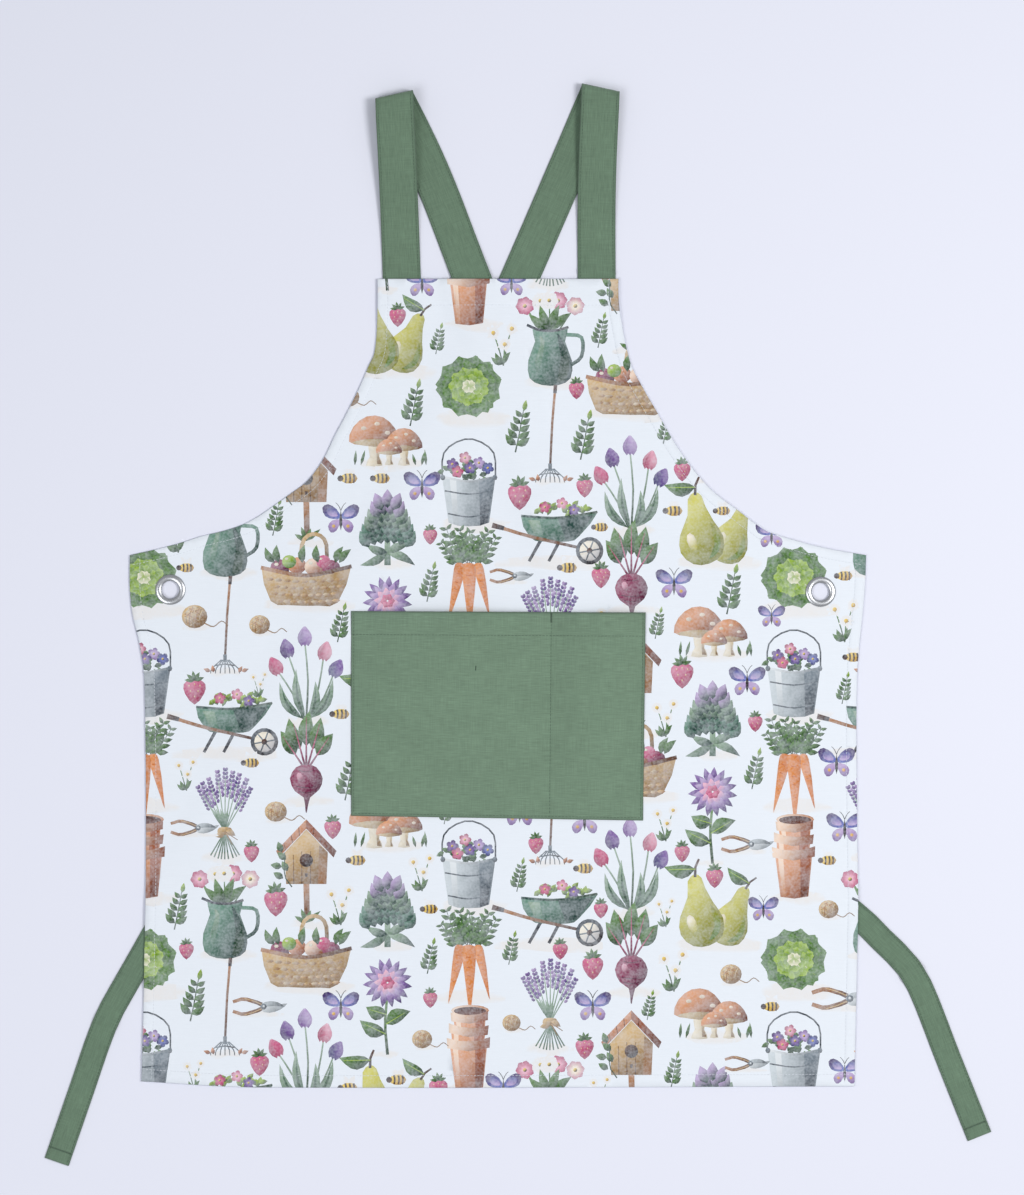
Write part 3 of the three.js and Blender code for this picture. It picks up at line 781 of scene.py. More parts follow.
def trug(m):
    m.wash(2, -21, 76, 12)
    m.line([(-5, -2), (-3, 26), (6, 33), (15, 26), (15, 0)], (3, 3, 14), "tan", "wood_dark")
    for x, y, size, light, dark in ((-20, 7, 15, "beet", "beet_dark"), (-7, 9, 14, "clay", "clay_dark"),
                                    (6, 8, 15, "clay_pale", "clay_dark"), (19, 7, 14, "beet", "beet_dark"),
                                    (-13, 12, 11, "lime", "lime_dark"), (13, 12, 11, "pink", "rose_dark")):
        m.paint(oval(x, y, size, size * 0.92, count=12), light, dark)
        m.paint(oval(x - size * 0.18, y + size * 0.2, size * 0.24, size * 0.18, count=6), "cream")
    for x, way in ((-24, 120), (-21, 95), (-3, 80), (22, 70), (25, 50), (9, 100)):
        m.paint(leaf(x, 11, 14, 6, way + m.between(-8, 8), 0.1, 4), "leaf", "leaf_dark")
    side = [(-34, 7), (-27, -18), (-14, -21), (10, -21.5), (24, -19), (34, 8), (20, 3), (0, 1.5), (-20, 3)]
    m.blob(side, "tan", "tan_dark", -70)
    for row in range(4):
        y = -1 - row * 5.2
        reach = 31 - row * 1.9
        for column in range(9):
            x = -reach + (column + 0.5 + 0.5 * (row % 2)) * reach * 2 / 9.5
            m.paint(oval(x, y - 2 + 2.6 * (x / 34) ** 2, 6.4, 2.7, 0, 6),
                    ("tan", "cream_dark")[column % 2], "wood")
    m.line([(-34.5, 7.5), (0, 1.5), (34.5, 8.5)], (3, 3, 9), "wood", "wood_dark")


def tulips(m):
    m.wash(2, -38, 36, 9)
    blooms = ((-4, 104, 52, "purple", "purple_dark"), (4, 76, 50, "rose", "rose_dark"),
              (0, 91, 60, "lilac", "purple"), (-6, 118, 42, "pink", "rose_dark"),
              (7, 62, 40, "purple", "blue_dark"))
    for x, way, length, _, _ in blooms:
        bend, tip = moved([(length * 0.5, -2), (length, 0)], x * 0.4, -36, way)
        m.line([(x * 0.4, -36), bend, tip], (1.7, 1.2, 5), "sage", "leaf_dark")
    for x, way, length, bend in ((-3, 122, 34, 0.14), (3, 60, 36, -0.14), (-1, 100, 40, 0.08),
                                 (2, 80, 30, -0.1)):
        m.paint(leaf(x, -36, length, 7, way, bend, 6), "sage", "sage_dark")
        m.paint(leaf(x, -36, length * 0.9, 2, way, bend, 4), "sage_dark", "leaf_dark")
    for x, way, length, light, dark in blooms:
        tip = moved([(length, 0)], x * 0.4, -36, way)[0]
        for side, wide in ((-1, 6.5), (1, 6.5), (0, 7.5)):
            petal = leaf(-3, side * 2.6, 16, wide, side * -7, 0.05 * side, 5)
            m.paint(moved(petal, *tip, way), light, dark, way + 120)


def beetroot(m):
    m.wash(2, -26, 44, 10)
    for way, length in ((124, 36), (105, 42), (90, 46), (74, 42), (56, 35)):
        middle = moved([(length * 0.42, 0)], 0, -2, way)[0]
        m.line([(0, -2), middle], (2, 1.3, 2), "beet", "beet_dark")
        m.paint(leaf(*middle, length * 0.62, 12, way + m.between(-6, 6), m.between(-0.08, 0.08), 6),
                "leaf", "leaf_dark")
        m.line([middle, moved([(length * 0.5, 0)], *middle, way)[0]], (1.1, 0.4, 2), "beet", "pink")
    root = [(0, 3), (-8, 1), (-13, -8), (-9, -18), (-2, -23), (-0.6, -34), (0.6, -34), (3, -23), (10, -17),
            (13, -8), (8, 1)]
    m.blob(root, "beet", "beet_dark", -30)
    m.paint(oval(-5, -7, 5, 8, 20, 8), "rose", "beet")
    for y, reach in ((-1.5, 6), (-14, 8), (-18, 6)):
        m.line([(-reach, y), (0, y - 1.4), (reach, y)], (0.7, 0.4, 4), "beet_dark")


def mushrooms(m):
    m.wash(3, -20, 46, 10)
    for x, size in ((-9, 1), (11, 0.74), (1, 0.52)):
        place = (x, -20 + 11 * size, 0, size)
        stem = [(-4, 4), (-3, -6), (-5.5, -12), (5.5, -12), (3.4, -6), (4, 4)]
        m.part(rounded(stem, 2), place, "cream", "cream_dark", 0)
        m.part([(1, 4), (3.6, 4), (3.1, -6), (5, -11), (2, -11)], place, "cream_dark", "tan_dark")
        cap = [(-17, 4), (-14, 14), (-5, 21), (6, 20.5), (14, 13), (17, 4), (8, 1.6), (0, 1), (-8, 1.6)]
        m.part(rounded(cap, 2), place, "clay", "brick", -50)
        m.part(rounded([(-15, 3.4), (0, 6), (15, 3.4), (0, 0.6)]), place, "cream_dark", "tan_dark")
        for spot_x, spot_y in ((-7, 13), (2, 16), (9, 10)):
            m.part(oval(spot_x, spot_y, 4, 2.8, 0, 7), place, "cream", "clay_pale")
    for x in (-22, -18, 19, 23, 26):
        m.paint(leaf(x, -21, m.between(7, 12), 2.2, m.between(70, 110), 0, 3), "leaf", "leaf_dark")


def dahlia(m):
    m.wash(0, -39, 26, 7)
    m.line([(0, -39), (-2, -14), (0, 12)], (2.4, 2, 6), "leaf", "leaf_dark")
    for x, y, way, length in ((-1.6, -22, 152, 24), (-1.4, -14, 28, 23), (-0.8, -6, 160, 18)):
        m.paint(leaf(x, y, length, 12, way, 0.1, 5), "leaf", "leaf_dark")
        m.line([(x, y), moved([(length * 0.8, 1)], x, y, way)[0]], (0.8, 0.4, 2), "lime")
    for count, start, length, shade in ((15, 7, 13.5, ("purple", "purple_dark")),
                                        (12, 4.5, 11.5, ("lilac", "purple")),
                                        (9, 2.2, 9, ("rose", "lilac")),
                                        (6, 0.6, 5.5, ("pink", "rose_dark"))):
        for petal in range(count):
            way = petal * 360 / count + start * 9
            place = moved([(start, 0)], 0, 20, way)[0]
            m.paint(leaf(*place, length, 6, way + m.between(-5, 5), 0, 4), *shade)


def jug(m):
    m.wash(3, -33, 48, 11)
    for x, y, way in ((-10, 8, 118), (-4, 10, 100), (4, 10, 84), (10, 8, 62), (0, 10, 92)):
        tip = moved([(18, 0)], x, y, way)[0]
        m.line([(x * 0.5, y - 4), tip], (1.2, 0.8, 2), "leaf", "leaf_dark")
        light, dark = m.random.choice([("wash", "lilac"), ("rose", "pink"), ("cream", "rose")])
        flower(m, *tip, 6.2, light, dark, petals=7)
    for way in (40, 70, 112, 142):
        m.paint(leaf(0, 6, 20, 7, way, 0.05, 4), "leaf", "leaf_dark")
    m.line([(12, 3), (23, 1), (23, -13), (14, -20)], (2.8, 2.6, 10), "teal", "teal_dark")
    wall = [(-13, 8), (-11, -2), (-16, -16), (-15, -29), (-6, -34), (6, -34), (15, -29), (16, -16),
            (11, -2), (13, 8), (0, 6)]
    m.blob(wall, "teal", "teal_dark", -30)
    m.blob([(5, 4), (10, -3), (14, -16), (12, -29), (5, -32), (8, -14)], "teal_dark", "leaf_dark")
    m.blob([(-8, 2), (-7, -4), (-11, -16), (-9, -26), (-6, -16), (-4, -2)], "sage", "teal")
    m.line([(-17, 10), (-8, 6.4), (4, 6), (13.5, 8.6)], (2, 1.8, 8), "zinc_deep", "ink")


def artichoke(m):
    m.wash(2, -27, 34, 9)
    m.line([(0, -28), (0, -8)], (5, 4.4, 2), "sage", "sage_dark")
    for way, length in ((205, 24), (335, 24), (160, 18), (20, 18)):
        m.paint(leaf(0, -18, length, 7, way, 0.08, 5), "sage", "teal_dark")
    for row in range(6):
        count = (7, 7, 6, 5, 4, 3)[row]
        for index in range(count):
            share = (index + 0.5) / count * 2 - 1
            x = share * (17 - row * 2.1)
            y = -10 + row * 5.6 + 4 * (1 - share**2)
            shade = (("teal", "teal_dark"), ("sage", "teal_dark"), ("lilac", "teal_dark"))[min(row // 2, 2)]
            m.paint(leaf(x, y - 5, 15, 9.5, 90 - share * 34, 0, 4), *shade)


def rake(m):
    m.wash(0, -45, 34, 7)
    m.line([(5, 46), (2, 10), (0, -32)], (2.4, 2.2, 5), "wood", "wood_dark")
    m.line([(5.2, 47), (4.6, 39)], (3.6, 3.2, 2), "wood_dark", "ink")
    m.line([(0, -28), (0, -35)], (3.6, 3, 2), "zinc_dark", "zinc_deep")
    for tine in range(7):
        x = (tine - 3) * 4.6
        m.line([(x * 0.25, -33), (x * 0.9, -41), (x, -46)], (1.2, 0.8, 5), "zinc_dark", "zinc_deep")
    m.line([(-9, -38.5), (0, -37), (9, -38.5)], (1.3, 1.3, 5), "zinc_dark", "ink")
    for x, y, way in ((-14, -44, 160), (-11, -45, 100), (13, -45, 60), (16, -44, 20)):
        m.paint(leaf(x, y, 7, 4, way, 0, 4), "clay", "brick")


def secateurs(m):
    m.wash(0, -8, 52, 7)
    for side in (-1, 1):
        handle = [(4, side * 1), (-4, side * 4.6), (-16, side * 7.4), (-26, side * 4.6)]
        m.line(handle, (4.2, 3.2, 8), "wood", "wood_dark")
        m.line([(2, side * 2.2), (-6, side * 5.6), (-15, side * 8.2)], (1, 0.6, 5), "tan")
    m.blob([(2, -4), (10, -6), (20, -3), (27, 3), (18, 2), (8, 1.5)], "steel", "zinc_dark", -60)
    m.blob([(2, 3), (10, 5.4), (18, 4.2), (24, 0), (14, 0.6), (6, 0)], "zinc", "zinc_deep", -60)
    m.paint(oval(4, 0, 6, 6, count=9), "zinc_dark", "zinc_deep")
    m.paint(oval(4, 0.4, 2.4, 2.4, count=6), "steel")


def butterfly(m):
    for side in (-1, 1):
        upper = [(0, 1), (side * 3, 7), (side * 9, 10.5), (side * 13, 8), (side * 11, 2), (side * 5, 0)]
        lower = [(0, -0.5), (side * 6, -1), (side * 9, -5), (side * 7, -9.5), (side * 3, -8)]
        m.blob(lower, "lilac", "purple", -90)
        m.blob(upper, "blue", "purple_dark", 90 - side * 40)
        m.blob(np.array(upper) * 0.6 + np.array([side * 2, 1.6]), "lilac", "blue", 90)
        m.paint(oval(side * 5, -5, 2.6, 2.6, count=6), "yellow", "carrot")
    m.paint(leaf(0, -8, 15, 2.2, 90, 0, 4), "ink")
    for side in (-1, 1):
        m.line([(0, 6), (side * 1.6, 9.5), (side * 3.6, 11.5)], (0.6, 0.4, 4), "ink")


def sprig(m):
    m.line([(-3, -16), (0, -2), (3, 15)], (1.1, 0.6, 6), "leaf_dark")
    for index, (x, y) in enumerate(((-2.4, -11), (-1.4, -6), (-0.4, -1), (0.8, 4), (1.8, 9))):
        for side in (-1, 1):
            m.paint(leaf(x, y, 11 - index * 1.1, 5.4 - index * 0.4, 82 - side * 52, side * -0.08, 4),
                    "leaf", "leaf_dark")
    m.paint(leaf(3, 13, 8, 3.6, 78, 0, 4), "lime", "lime_dark")


def twine(m):
    m.wash(2, -10, 28, 7)
    m.line([(9, -6), (17, -9), (24, -4), (30, -8)], (1.2, 0.9, 10), "tan_dark")
    m.paint(oval(0, 0, 23, 21, count=16), "tan", "tan_dark")
    for way in (25, -35, 80):
        for shift in (-6, -3, 0, 3, 6):
            reach = math.sqrt(100 - shift**2) * 0.9
            line = moved([(-reach, shift), (0, shift + 1.6), (reach, shift)], 0, 0, way)
            m.line(line, (1, 0.7, 4), ("cream_dark", "wood")[(shift // 3) % 2], "tan_dark")


def bee(m):
    for side, way in ((-1, 118), (1, 62)):
        m.paint(leaf(0, 1, 9, 5, way, 0, 4), "wash", "zinc")
    m.paint(oval(0, 0, 12, 7.4, 0, 10), "yellow", "yellow_dark")
    for x in (-2.6, 0.4, 3.2):
        m.line([(x, 3.2), (x + 0.6, 0), (x, -3.2)], (1.4, 1.2, 4), "ink", "wood_dark")
    m.paint(oval(-6, 0, 4.4, 4.4, count=8), "ink", "wood_dark")


def daisies(m):
    for x, y, size in ((-7, 5, 5), (6, 8, 4.4), (1, -3, 4.8)):
        m.line([(x, y), (x * 0.5, y - 10), (0, -18)], (0.9, 0.9, 4), "leaf", "leaf_dark")
        for petal in range(9):
            way = petal * 40 + x * 3
            m.paint(leaf(*moved([(1.2, 0)], x, y, way)[0], size, 2.6, way, 0, 3), "wash", "lilac", way)
        m.paint(oval(x, y, 3.2, 3.2, count=7), "yellow", "yellow_dark")
    for way in (60, 125, 150):
        m.paint(leaf(0, -17, 10, 4, way, 0.1, 4), "leaf", "leaf_dark")


def strawberry(m):
    m.blob([(0, -11), (-7, -3), (-8, 4), (-3, 7.5), (3, 7.5), (8, 4), (7, -3)], "pink", "rose_dark")
    for x, y in ((-4, 3), (0, 4), (4, 3), (-3, -1), (2.6, -1), (0, -5)):
        m.paint(oval(x, y, 1.1, 1.6, 0, 5), "cream", "yellow")
    for way in (20, 60, 100, 140, 175):
        m.paint(leaf(0, 6.5, 7.5, 3.2, way, 0, 3), "leaf", "leaf_dark")


# The repeat: four columns, every other one dropped by half a row, with small motifs in between

COLUMN_STEP = 80
ROW_STEP = 94
REPEAT_START = (14, -12)
LARGE_SIZE = 1.2
USUAL_SIZE = 1.04
REPEAT = (
    (bucket, carrots, pots, lettuce),
    (barrow, lavender, jug, rake),
    (tulips, beetroot, bird_house, trug),
    (pears, mushrooms, artichoke, dahlia),
)
OWN_SIZE = {
    rake: 0.86, dahlia: 1, lettuce: 1.25, pears: 1.3, mushrooms: 1.22,
    bird_house: 1.18, barrow: 1.08, jug: 1.12, trug: 1.08,
}
FOR_WIDE_GAPS = (sprig, twine, secateurs, daisies, butterfly)
FOR_GAPS = (strawberry, sprig, daisies, twine, butterfly, sprig)
FOR_NARROW_GAPS = (bee, strawberry, sprig)
WIDE_GAP = 20
NARROW_GAP = 14
LEAST_GAP = 10.5
GAP_STEP = 8
GAP_FILL = 1.12
GAP_MARGIN = 3
SMALL_SIZE = 1.4
LEAST_SIZE = 0.75
MOTIF_REACH = 68
WASHES = (PAINTS["wash"],)
INNER_RING = 0.55
INNER_RING_FROM = 8
PRINT_TOLERANCE = 0.22
PAINT_DEPTH = 0.74


def large_motifs(low, high):
    """The large motifs with their middles and sizes, from the top left of the repeat."""
    for column in range(-1, int((high[0] - low[0]) / COLUMN_STEP) + 2):
        for row in range(-1, int((high[1] - low[1]) / ROW_STEP) + 2):
            x = low[0] + column * COLUMN_STEP + REPEAT_START[0]
            y = high[1] - (row + 0.5 * (column % 2)) * ROW_STEP + REPEAT_START[1]
            make = REPEAT[column % 4][(row + 2 * (column // 4)) % 4]
            yield make, np.array([x, y]), LARGE_SIZE * OWN_SIZE.get(make, USUAL_SIZE)


def small_motifs(large, drawn, low, high):
    """Small motifs in the widest gaps that are left, until no gap can hold one."""
    taken = []
    for make, middle, size in large:
        for outline, light, _, _ in drawn[make].shapes:
            if light not in WASHES:
                rim = resample(np.vstack([outline, outline[:1]]), 5)
                core = outline.mean(axis=0)
                taken += [rim * size + middle, (rim[::2] * 0.6 + core * 0.4) * size + middle]
    taken = np.vstack(taken)
    tree = KDTree(len(taken))
    for index, place in enumerate(taken):
        tree.insert((*place, 0), index)
    tree.balance()
    columns = np.arange(low[0], high[0], GAP_STEP)
    rows = np.arange(low[1], high[1], GAP_STEP)
    spots = np.array([(x, y) for x in columns for y in rows])
    clear = np.array([tree.find((*spot, 0))[2] for spot in spots])
    turn = 0
    while clear.max() > LEAST_GAP:
        spot = spots[np.argmax(clear)]
        choice = FOR_NARROW_GAPS
        if clear.max() > NARROW_GAP:
            choice = FOR_GAPS
        if clear.max() > WIDE_GAP:
            choice = FOR_WIDE_GAPS
        make = choice[turn % len(choice)]
        reach = max(np.linalg.norm(outline, axis=1).max() for outline, light, _, _ in drawn[make].shapes)
        size = min(SMALL_SIZE, clear.max() * GAP_FILL / reach)
        if size > LEAST_SIZE:
            yield make, spot, size
            clear = np.minimum(clear, np.linalg.norm(spots - spot, axis=1) - reach * size - GAP_MARGIN)
        else:
            clear[np.argmax(clear)] = 0
        turn += 1


def drawn_motifs():
    made = {}
    small = FOR_WIDE_GAPS + FOR_GAPS + FOR_NARROW_GAPS
    for seed, make in enumerate([motif for column in REPEAT for motif in column] + list(small)):
        if make not in made:
            made[make] = Motif(seed + 1)
            make(made[make])
    return made


def simplified(places):
    """An outline without the points that hardly bend it."""
    for _ in range(3):
        before, after = np.roll(places, 1, axis=0), np.roll(places, -1, axis=0)
        chord = after - before
        offset = places - before
        across = np.abs(chord[:, 0] * offset[:, 1] - chord[:, 1] * offset[:, 0])
        bend = across / np.linalg.norm(chord, axis=1)
        keep = np.ones(len(places), bool)
        for index in np.argsort(bend):
            beside = keep[index - 1] and keep[(index + 1) % len(places)]
            if bend[index] < PRINT_TOLERANCE and beside and keep.sum() > 5:
                keep[index] = False
        places = places[keep]
    return places


def print_on(plan, low, high, unseen):
    """Lays the motifs into a plan, and gives each polygon's middle, reach and paints."""
    drawn = drawn_motifs()
    paints = {}
    large = list(large_motifs(low, high))
    for make, middle, size in large + list(small_motifs(large, drawn, low, high)):
        out = np.maximum(low - middle, middle - high).max()
        if out > MOTIF_REACH:
            continue
        for outline, light, dark, turn in drawn[make].shapes:
            places = outline * size + middle
            centre = places.mean(axis=0)
            reach = np.linalg.norm(places - centre, axis=1).max()
            if unseen(centre, reach):
                continue
            places = simplified(places)
            polygon = plan.add_polygon(places)
            if reach > INNER_RING_FROM:
                plan.add_points(centre + (places[::2] - centre) * INNER_RING)
            way = np.array([math.cos(math.radians(turn)), math.sin(math.radians(turn))])
            deep = tuple(part * PAINT_DEPTH for part in linear(dark))
            paints[polygon] = (centre, reach, linear(light), deep, way, light in WASHES)
    return paints


def paint_at(place, paint, on_rim):
    """Colour and strength of one polygon's paint, which pools at its rim."""
    centre, reach, light, dark, way, wash = paint
    share = float(smooth(0.5 + 0.62 * ((place - centre) @ way) / reach))
    if wash:
        return (*light, 0.0 if on_rim else 0.75)
    pool = 0.8 if on_rim else 1.0
    return tuple(pool * (a + (b - a) * share) for a, b in zip(light, dark)) + (1.0,)


# Fabric body

def inset_run(run, depth):
    """The line at a depth inside one side of an outline that goes round to the left."""
    along = np.gradient(run, axis=0)
    along /= np.linalg.norm(along, axis=1)[:, None]
    inward = np.column_stack([-along[:, 1], along[:, 0]])
    return run + inward * depth


fine_sides = {name: resample(run, EDGE_STEP) for name, run in body_sides.items()}
body_edge = np.vstack([run[:-1] for run in fine_sides.values()])


def hem_lines(offset):
    lines = {}
    for name, run in fine_sides.items():
        depth = HEMS.get(name, SIDE_HEM) + offset
        line = inset_run(run, depth)
        clear = distance_to(line, np.vstack([body_edge, body_edge[:1]])) > min(depth, SIDE_HEM) * 0.15
        lines[name] = line[clear]
    return lines


def inner_edge():
    """The outline drawn in by the rounding of its edge."""
    before = body_edge - np.roll(body_edge, 1, axis=0)
    after = np.roll(body_edge, -1, axis=0) - body_edge
    before /= np.linalg.norm(before, axis=1)[:, None]
    after /= np.linalg.norm(after, axis=1)[:, None]
    inward = np.column_stack([-(before + after)[:, 1], (before + after)[:, 0]])
    inward /= np.linalg.norm(inward, axis=1)[:, None]
    return body_edge + inward * EDGE_ROUND


def ring(middle, radius, count):
    turns = np.arange(count) * 2 * math.pi / count
    return np.column_stack([middle[0] + radius * np.cos(turns), middle[1] + radius * np.sin(turns)])


class Plan:
    """Points and polygons that are cut into one set of triangles."""

    def __init__(self):
        self.points = []
        self.polygons = []
        self.edges = []

    def add_points(self, places):
        first = len(self.points)
        self.points.extend(Vector((float(place[0]), float(place[1]))) for place in places)
        return list(range(first, first + len(places)))

    def add_polygon(self, places):
        """Adds a polygon, turned to the left so that its inside is the one that is filled."""
        after = np.roll(places, -1, axis=0)
        if np.sum(places[:, 0] * after[:, 1] - places[:, 1] * after[:, 0]) < 0:
            places = places[::-1]
        self.polygons.append(self.add_points(places))
        return len(self.polygons) - 1

    def add_loop(self, places):
        made = self.add_points(places)
        self.edges.extend(zip(made, made[1:] + made[:1]))

    def cut(self, tolerance=0.01):
        points, _, triangles, sources, _, inside = delaunay_2d_cdt(
            self.points, self.edges, self.polygons, 1, tolerance
        )
        return np.array([tuple(point) for point in points]), triangles, sources, inside


def grid_inside(step, outline, clearance):
    low, high = outline.min(axis=0), outline.max(axis=0)
    columns = np.arange(low[0] + step / 2, high[0], step)
    rows = np.arange(low[1] + step / 2, high[1], step)
    places = np.array([(x, y) for x in columns for y in rows])
    closed = np.vstack([outline, outline[:1]])
    return places[distance_to(places, closed) > clearance]


RIPPLE_HEIGHT = 0.16
RIPPLE_LENGTH = 8.5
RIPPLE_LAYER = 2.6
RIPPLE_REACH = 5
GROOVE_DEPTH = 0.3
GROOVE_WIDTH = 0.8


def pucker(places, depth):
    """The groove of a row of stitches and the small ripples that it draws up, from their distance to it."""
    ripples = RIPPLE_HEIGHT * waves(places, RIPPLE_LENGTH, RIPPLE_LAYER)
    groove = GROOVE_DEPTH * np.exp(-((depth / GROOVE_WIDTH) ** 2))
    return ripples * np.exp(-((depth / RIPPLE_REACH) ** 2)) - groove


def hem_pucker(places):
    drawn = np.zeros(len(places))
    for line in hem_lines(0).values():
        drawn += pucker(places, distance_to(places, line))
    return drawn


def hem_share(places):
    """From 0 on the single cloth to 1 on the turned hem."""
    share = np.zeros(len(places))
    for name, run in fine_sides.items():
        depth = HEMS.get(name, SIDE_HEM)
        share = np.maximum(share, smooth((depth + 1 - distance_to(places, run)) / 2))
    return share


pocket_low, pocket_high = (corner[:2] for corner in box_mm("pocket"))


def is_inside(place, outline):
    """Whether a place lies inside a closed outline."""
    after = np.roll(outline, -1, axis=0)
    spans = (outline[:, 1] > place[1]) != (after[:, 1] > place[1])
    here, there = outline[spans], after[spans]
    along = (place[1] - here[:, 1]) * (there[:, 0] - here[:, 0]) / (there[:, 1] - here[:, 1])
    return np.sum(here[:, 0] + along > place[0]) % 2 == 1


def is_unseen(place, reach):
    """Whether a printed shape falls under the pocket or outside the cloth."""
    margin = reach + 5
    if np.all(place > pocket_low + margin) and np.all(place < pocket_high - margin):
        return True
    nearest = np.linalg.norm(body_edge - place, axis=1).min()
    return nearest > reach + EDGE_STEP and not is_inside(place, body_edge)


UNPRINTED = (1, 1, 1, 0)
HEM_OFFSETS = (-4, -1.6, -0.8, 0, 0.8, 1.6, 4)


def printed_layer():
    """The right side of the cloth, cut along every line of its print."""
    plan = Plan()
    body = plan.add_polygon(body_edge)
    plan.add_loop(inner_edge())
    for offset in HEM_OFFSETS:
        for line in hem_lines(offset).values():
            plan.add_points(line)
    holes = {plan.add_polygon(ring(middle, EYELET_HOLE, 48)) for middle in EYELETS.values()}
    plan.add_points(grid_inside(CLOTH_STEP, body_edge, EDGE_STEP))
    paints = print_on(plan, body_edge.min(axis=0), body_edge.max(axis=0), is_unseen)
    points, triangles, sources, inside = plan.cut()
    kept = [
        (list(corners), max(owners))
        for corners, owners in zip(triangles, inside)
        if body in owners and not holes & set(owners)
    ]
    outlines = {polygon: set(plan.polygons[polygon]) for polygon in paints}
    colours = []
    for corners, top in kept:
        for corner in corners:
            if top in paints:
                on_rim = not outlines[top].isdisjoint(sources[corner])
                colours.extend(paint_at(points[corner], paints[top], on_rim))
            else:
                colours.extend(UNPRINTED)
    return points, [corners for corners, _ in kept], colours


def reverse_layer(points, loops):
    """The wrong side of the cloth, cut to the same edges, as new points and triangles."""
    plan = Plan()
    outline = points[loops[0]]
    polygons = [plan.add_polygon(points[loop]) for loop in loops]
    shared = {}
    for loop, polygon in zip(loops, polygons):
        made = plan.polygons[polygon]
        turned = np.linalg.norm(np.array(plan.points[made[0]]) - points[loop[0]]) > 1e-6
        shared.update(zip(made, reversed(loop) if turned else loop))
    plan.add_points(grid_inside(REVERSE_STEP, outline, REVERSE_STEP / 2))
    flat, triangles, sources, inside = plan.cut(0.0001)
    known = {}
    added = []
    for index, found in enumerate(sources):
        match = [shared[source] for source in found if source in shared]
        if match:
            known[index] = match[0]
        else:
            known[index] = len(points) + len(added)
            added.append(flat[index])
    holes = set(polygons[1:])
    faces = [
        [known[corner] for corner in reversed(corners)]
        for corners, owners in zip(triangles, inside)
        if polygons[0] in owners and not holes & set(owners)
    ]
    return np.array(added), faces


def make_body():
    flat, top_faces, colours = printed_layer()
    loops = boundary_loops(top_faces)
    low_flat, low_faces = reverse_layer(flat, loops)
    on_edge = np.zeros(len(flat), bool)
    on_edge[[corner for loop in loops for corner in loop]] = True
    base = cloth_height(flat)
    hem = HEM_RISE * hem_share(flat)
    height = base + CLOTH_THICKNESS + hem + hem_pucker(flat)
    height = np.where(on_edge, base + (CLOTH_THICKNESS + hem) / 2, height)
    points = np.vstack([np.column_stack([flat, height]),
                        np.column_stack([low_flat, cloth_height(low_flat)])])
    used = np.unique([corner for corners in top_faces + low_faces for corner in corners])
    renamed = np.full(len(points), -1)
    renamed[used] = np.arange(len(used))
    faces = [[int(renamed[corner]) for corner in corners] for corners in top_faces + low_faces]
    piece = add_mesh("garden_print_body", points[used], faces, cloth_material)
    colours.extend(UNPRINTED * (3 * len(low_faces)))
    attribute = piece.data.attributes.new("print", "FLOAT_COLOR", "CORNER")
    attribute.data.foreach_set("color", colours)
    return piece


# Materials

def make_cloth_material():
    shader = Shader("printed_cotton")
    place = shader.place()
    pigment = shader.add("Attribute", {}, attribute_name="print").outputs
    grain = shader.noise(place, (420, 420, 420), 3)
    bloom = shader.noise(place, (95, 95, 95))
    thread = shader.noise(place, (60, 1900, 60), 1)
    wetness = shader.math("ADD", shader.math("MULTIPLY", grain, 0.5), shader.math("MULTIPLY", bloom, 0.5))
    strength = shader.stretched(wetness, (0.36, 0.62), 1.0, 0.7)
    cover = shader.math("MULTIPLY", pigment["Alpha"], strength)
    cotton = shader.toned((*COTTON_WHITE, 1), thread, 0.975, 1.0)
    soft = shader.bump(shader.noise(place, (26, 34, 30), 3), 0.0022, 0.35)
    return shader.coated({
        "Base Color": shader.mixed("MIX", cover, cotton, pigment["Color"]),
        "Roughness": 0.9,
        "Specular IOR Level": 0.2,
        "Sheen Weight": 0.12,
        "Normal": shader.bump(shader.weave(place, 0.0007), 0.00008, 0.6, soft),
    })


def make_green_material(name, green):
    shader = Shader(name)
    place = shader.add("Attribute", {}, attribute_name="cloth_place").outputs["Vector"]
    weft = shader.noise(place, (85, 1300, 1))
    warp = shader.noise(place, (1500, 50, 1))
    blotch = shader.noise(place, (22, 30, 1), 3)
    slub = shader.noise(place, (38, 620, 1), 0)
    colour = (*green, 1)
    for value, low, high in ((weft, 0.85, 1.11), (warp, 0.9, 1.07), (blotch, 0.95, 1.04), (slub, 0.96, 1.02)):
        colour = shader.toned(colour, value, low, high)
    # Painted shade: the canvas is mixed toward the shade green by the share that each point carries.
    painted_shade = shader.add("SeparateXYZ", {"Vector": place}).outputs["Z"]
    soft = shader.bump(shader.noise(place, (40, 40, 40)), 0.0015, 0.3)
    relief = shader.bump(shader.weave(place, 0.00085), 0.00014, 0.8, soft)
    return shader.coated({
        "Base Color": shader.mixed("MIX", shader.math("MULTIPLY", painted_shade, 0.75), colour, (*EDGE_SHADE_GREEN, 1)),
        "Roughness": 0.88,
        "Specular IOR Level": 0.25,
        "Sheen Weight": 0.2,
        "Sheen Roughness": 0.6,
        "Normal": shader.bump(weft, 0.00016, 0.7, relief),
    })


def make_thread_material(name, colour):
    shader = Shader(name)
    twist = shader.noise(shader.place(), (2600, 2600, 2600), 1)
    return shader.coated({
        "Base Color": shader.toned((*linear(colour), 1), twist, 0.8, 1.05),
        "Roughness": 0.62,
        "Sheen Weight": 0.15,
        "Normal": shader.bump(twist, 0.0001, 0.7),
    })


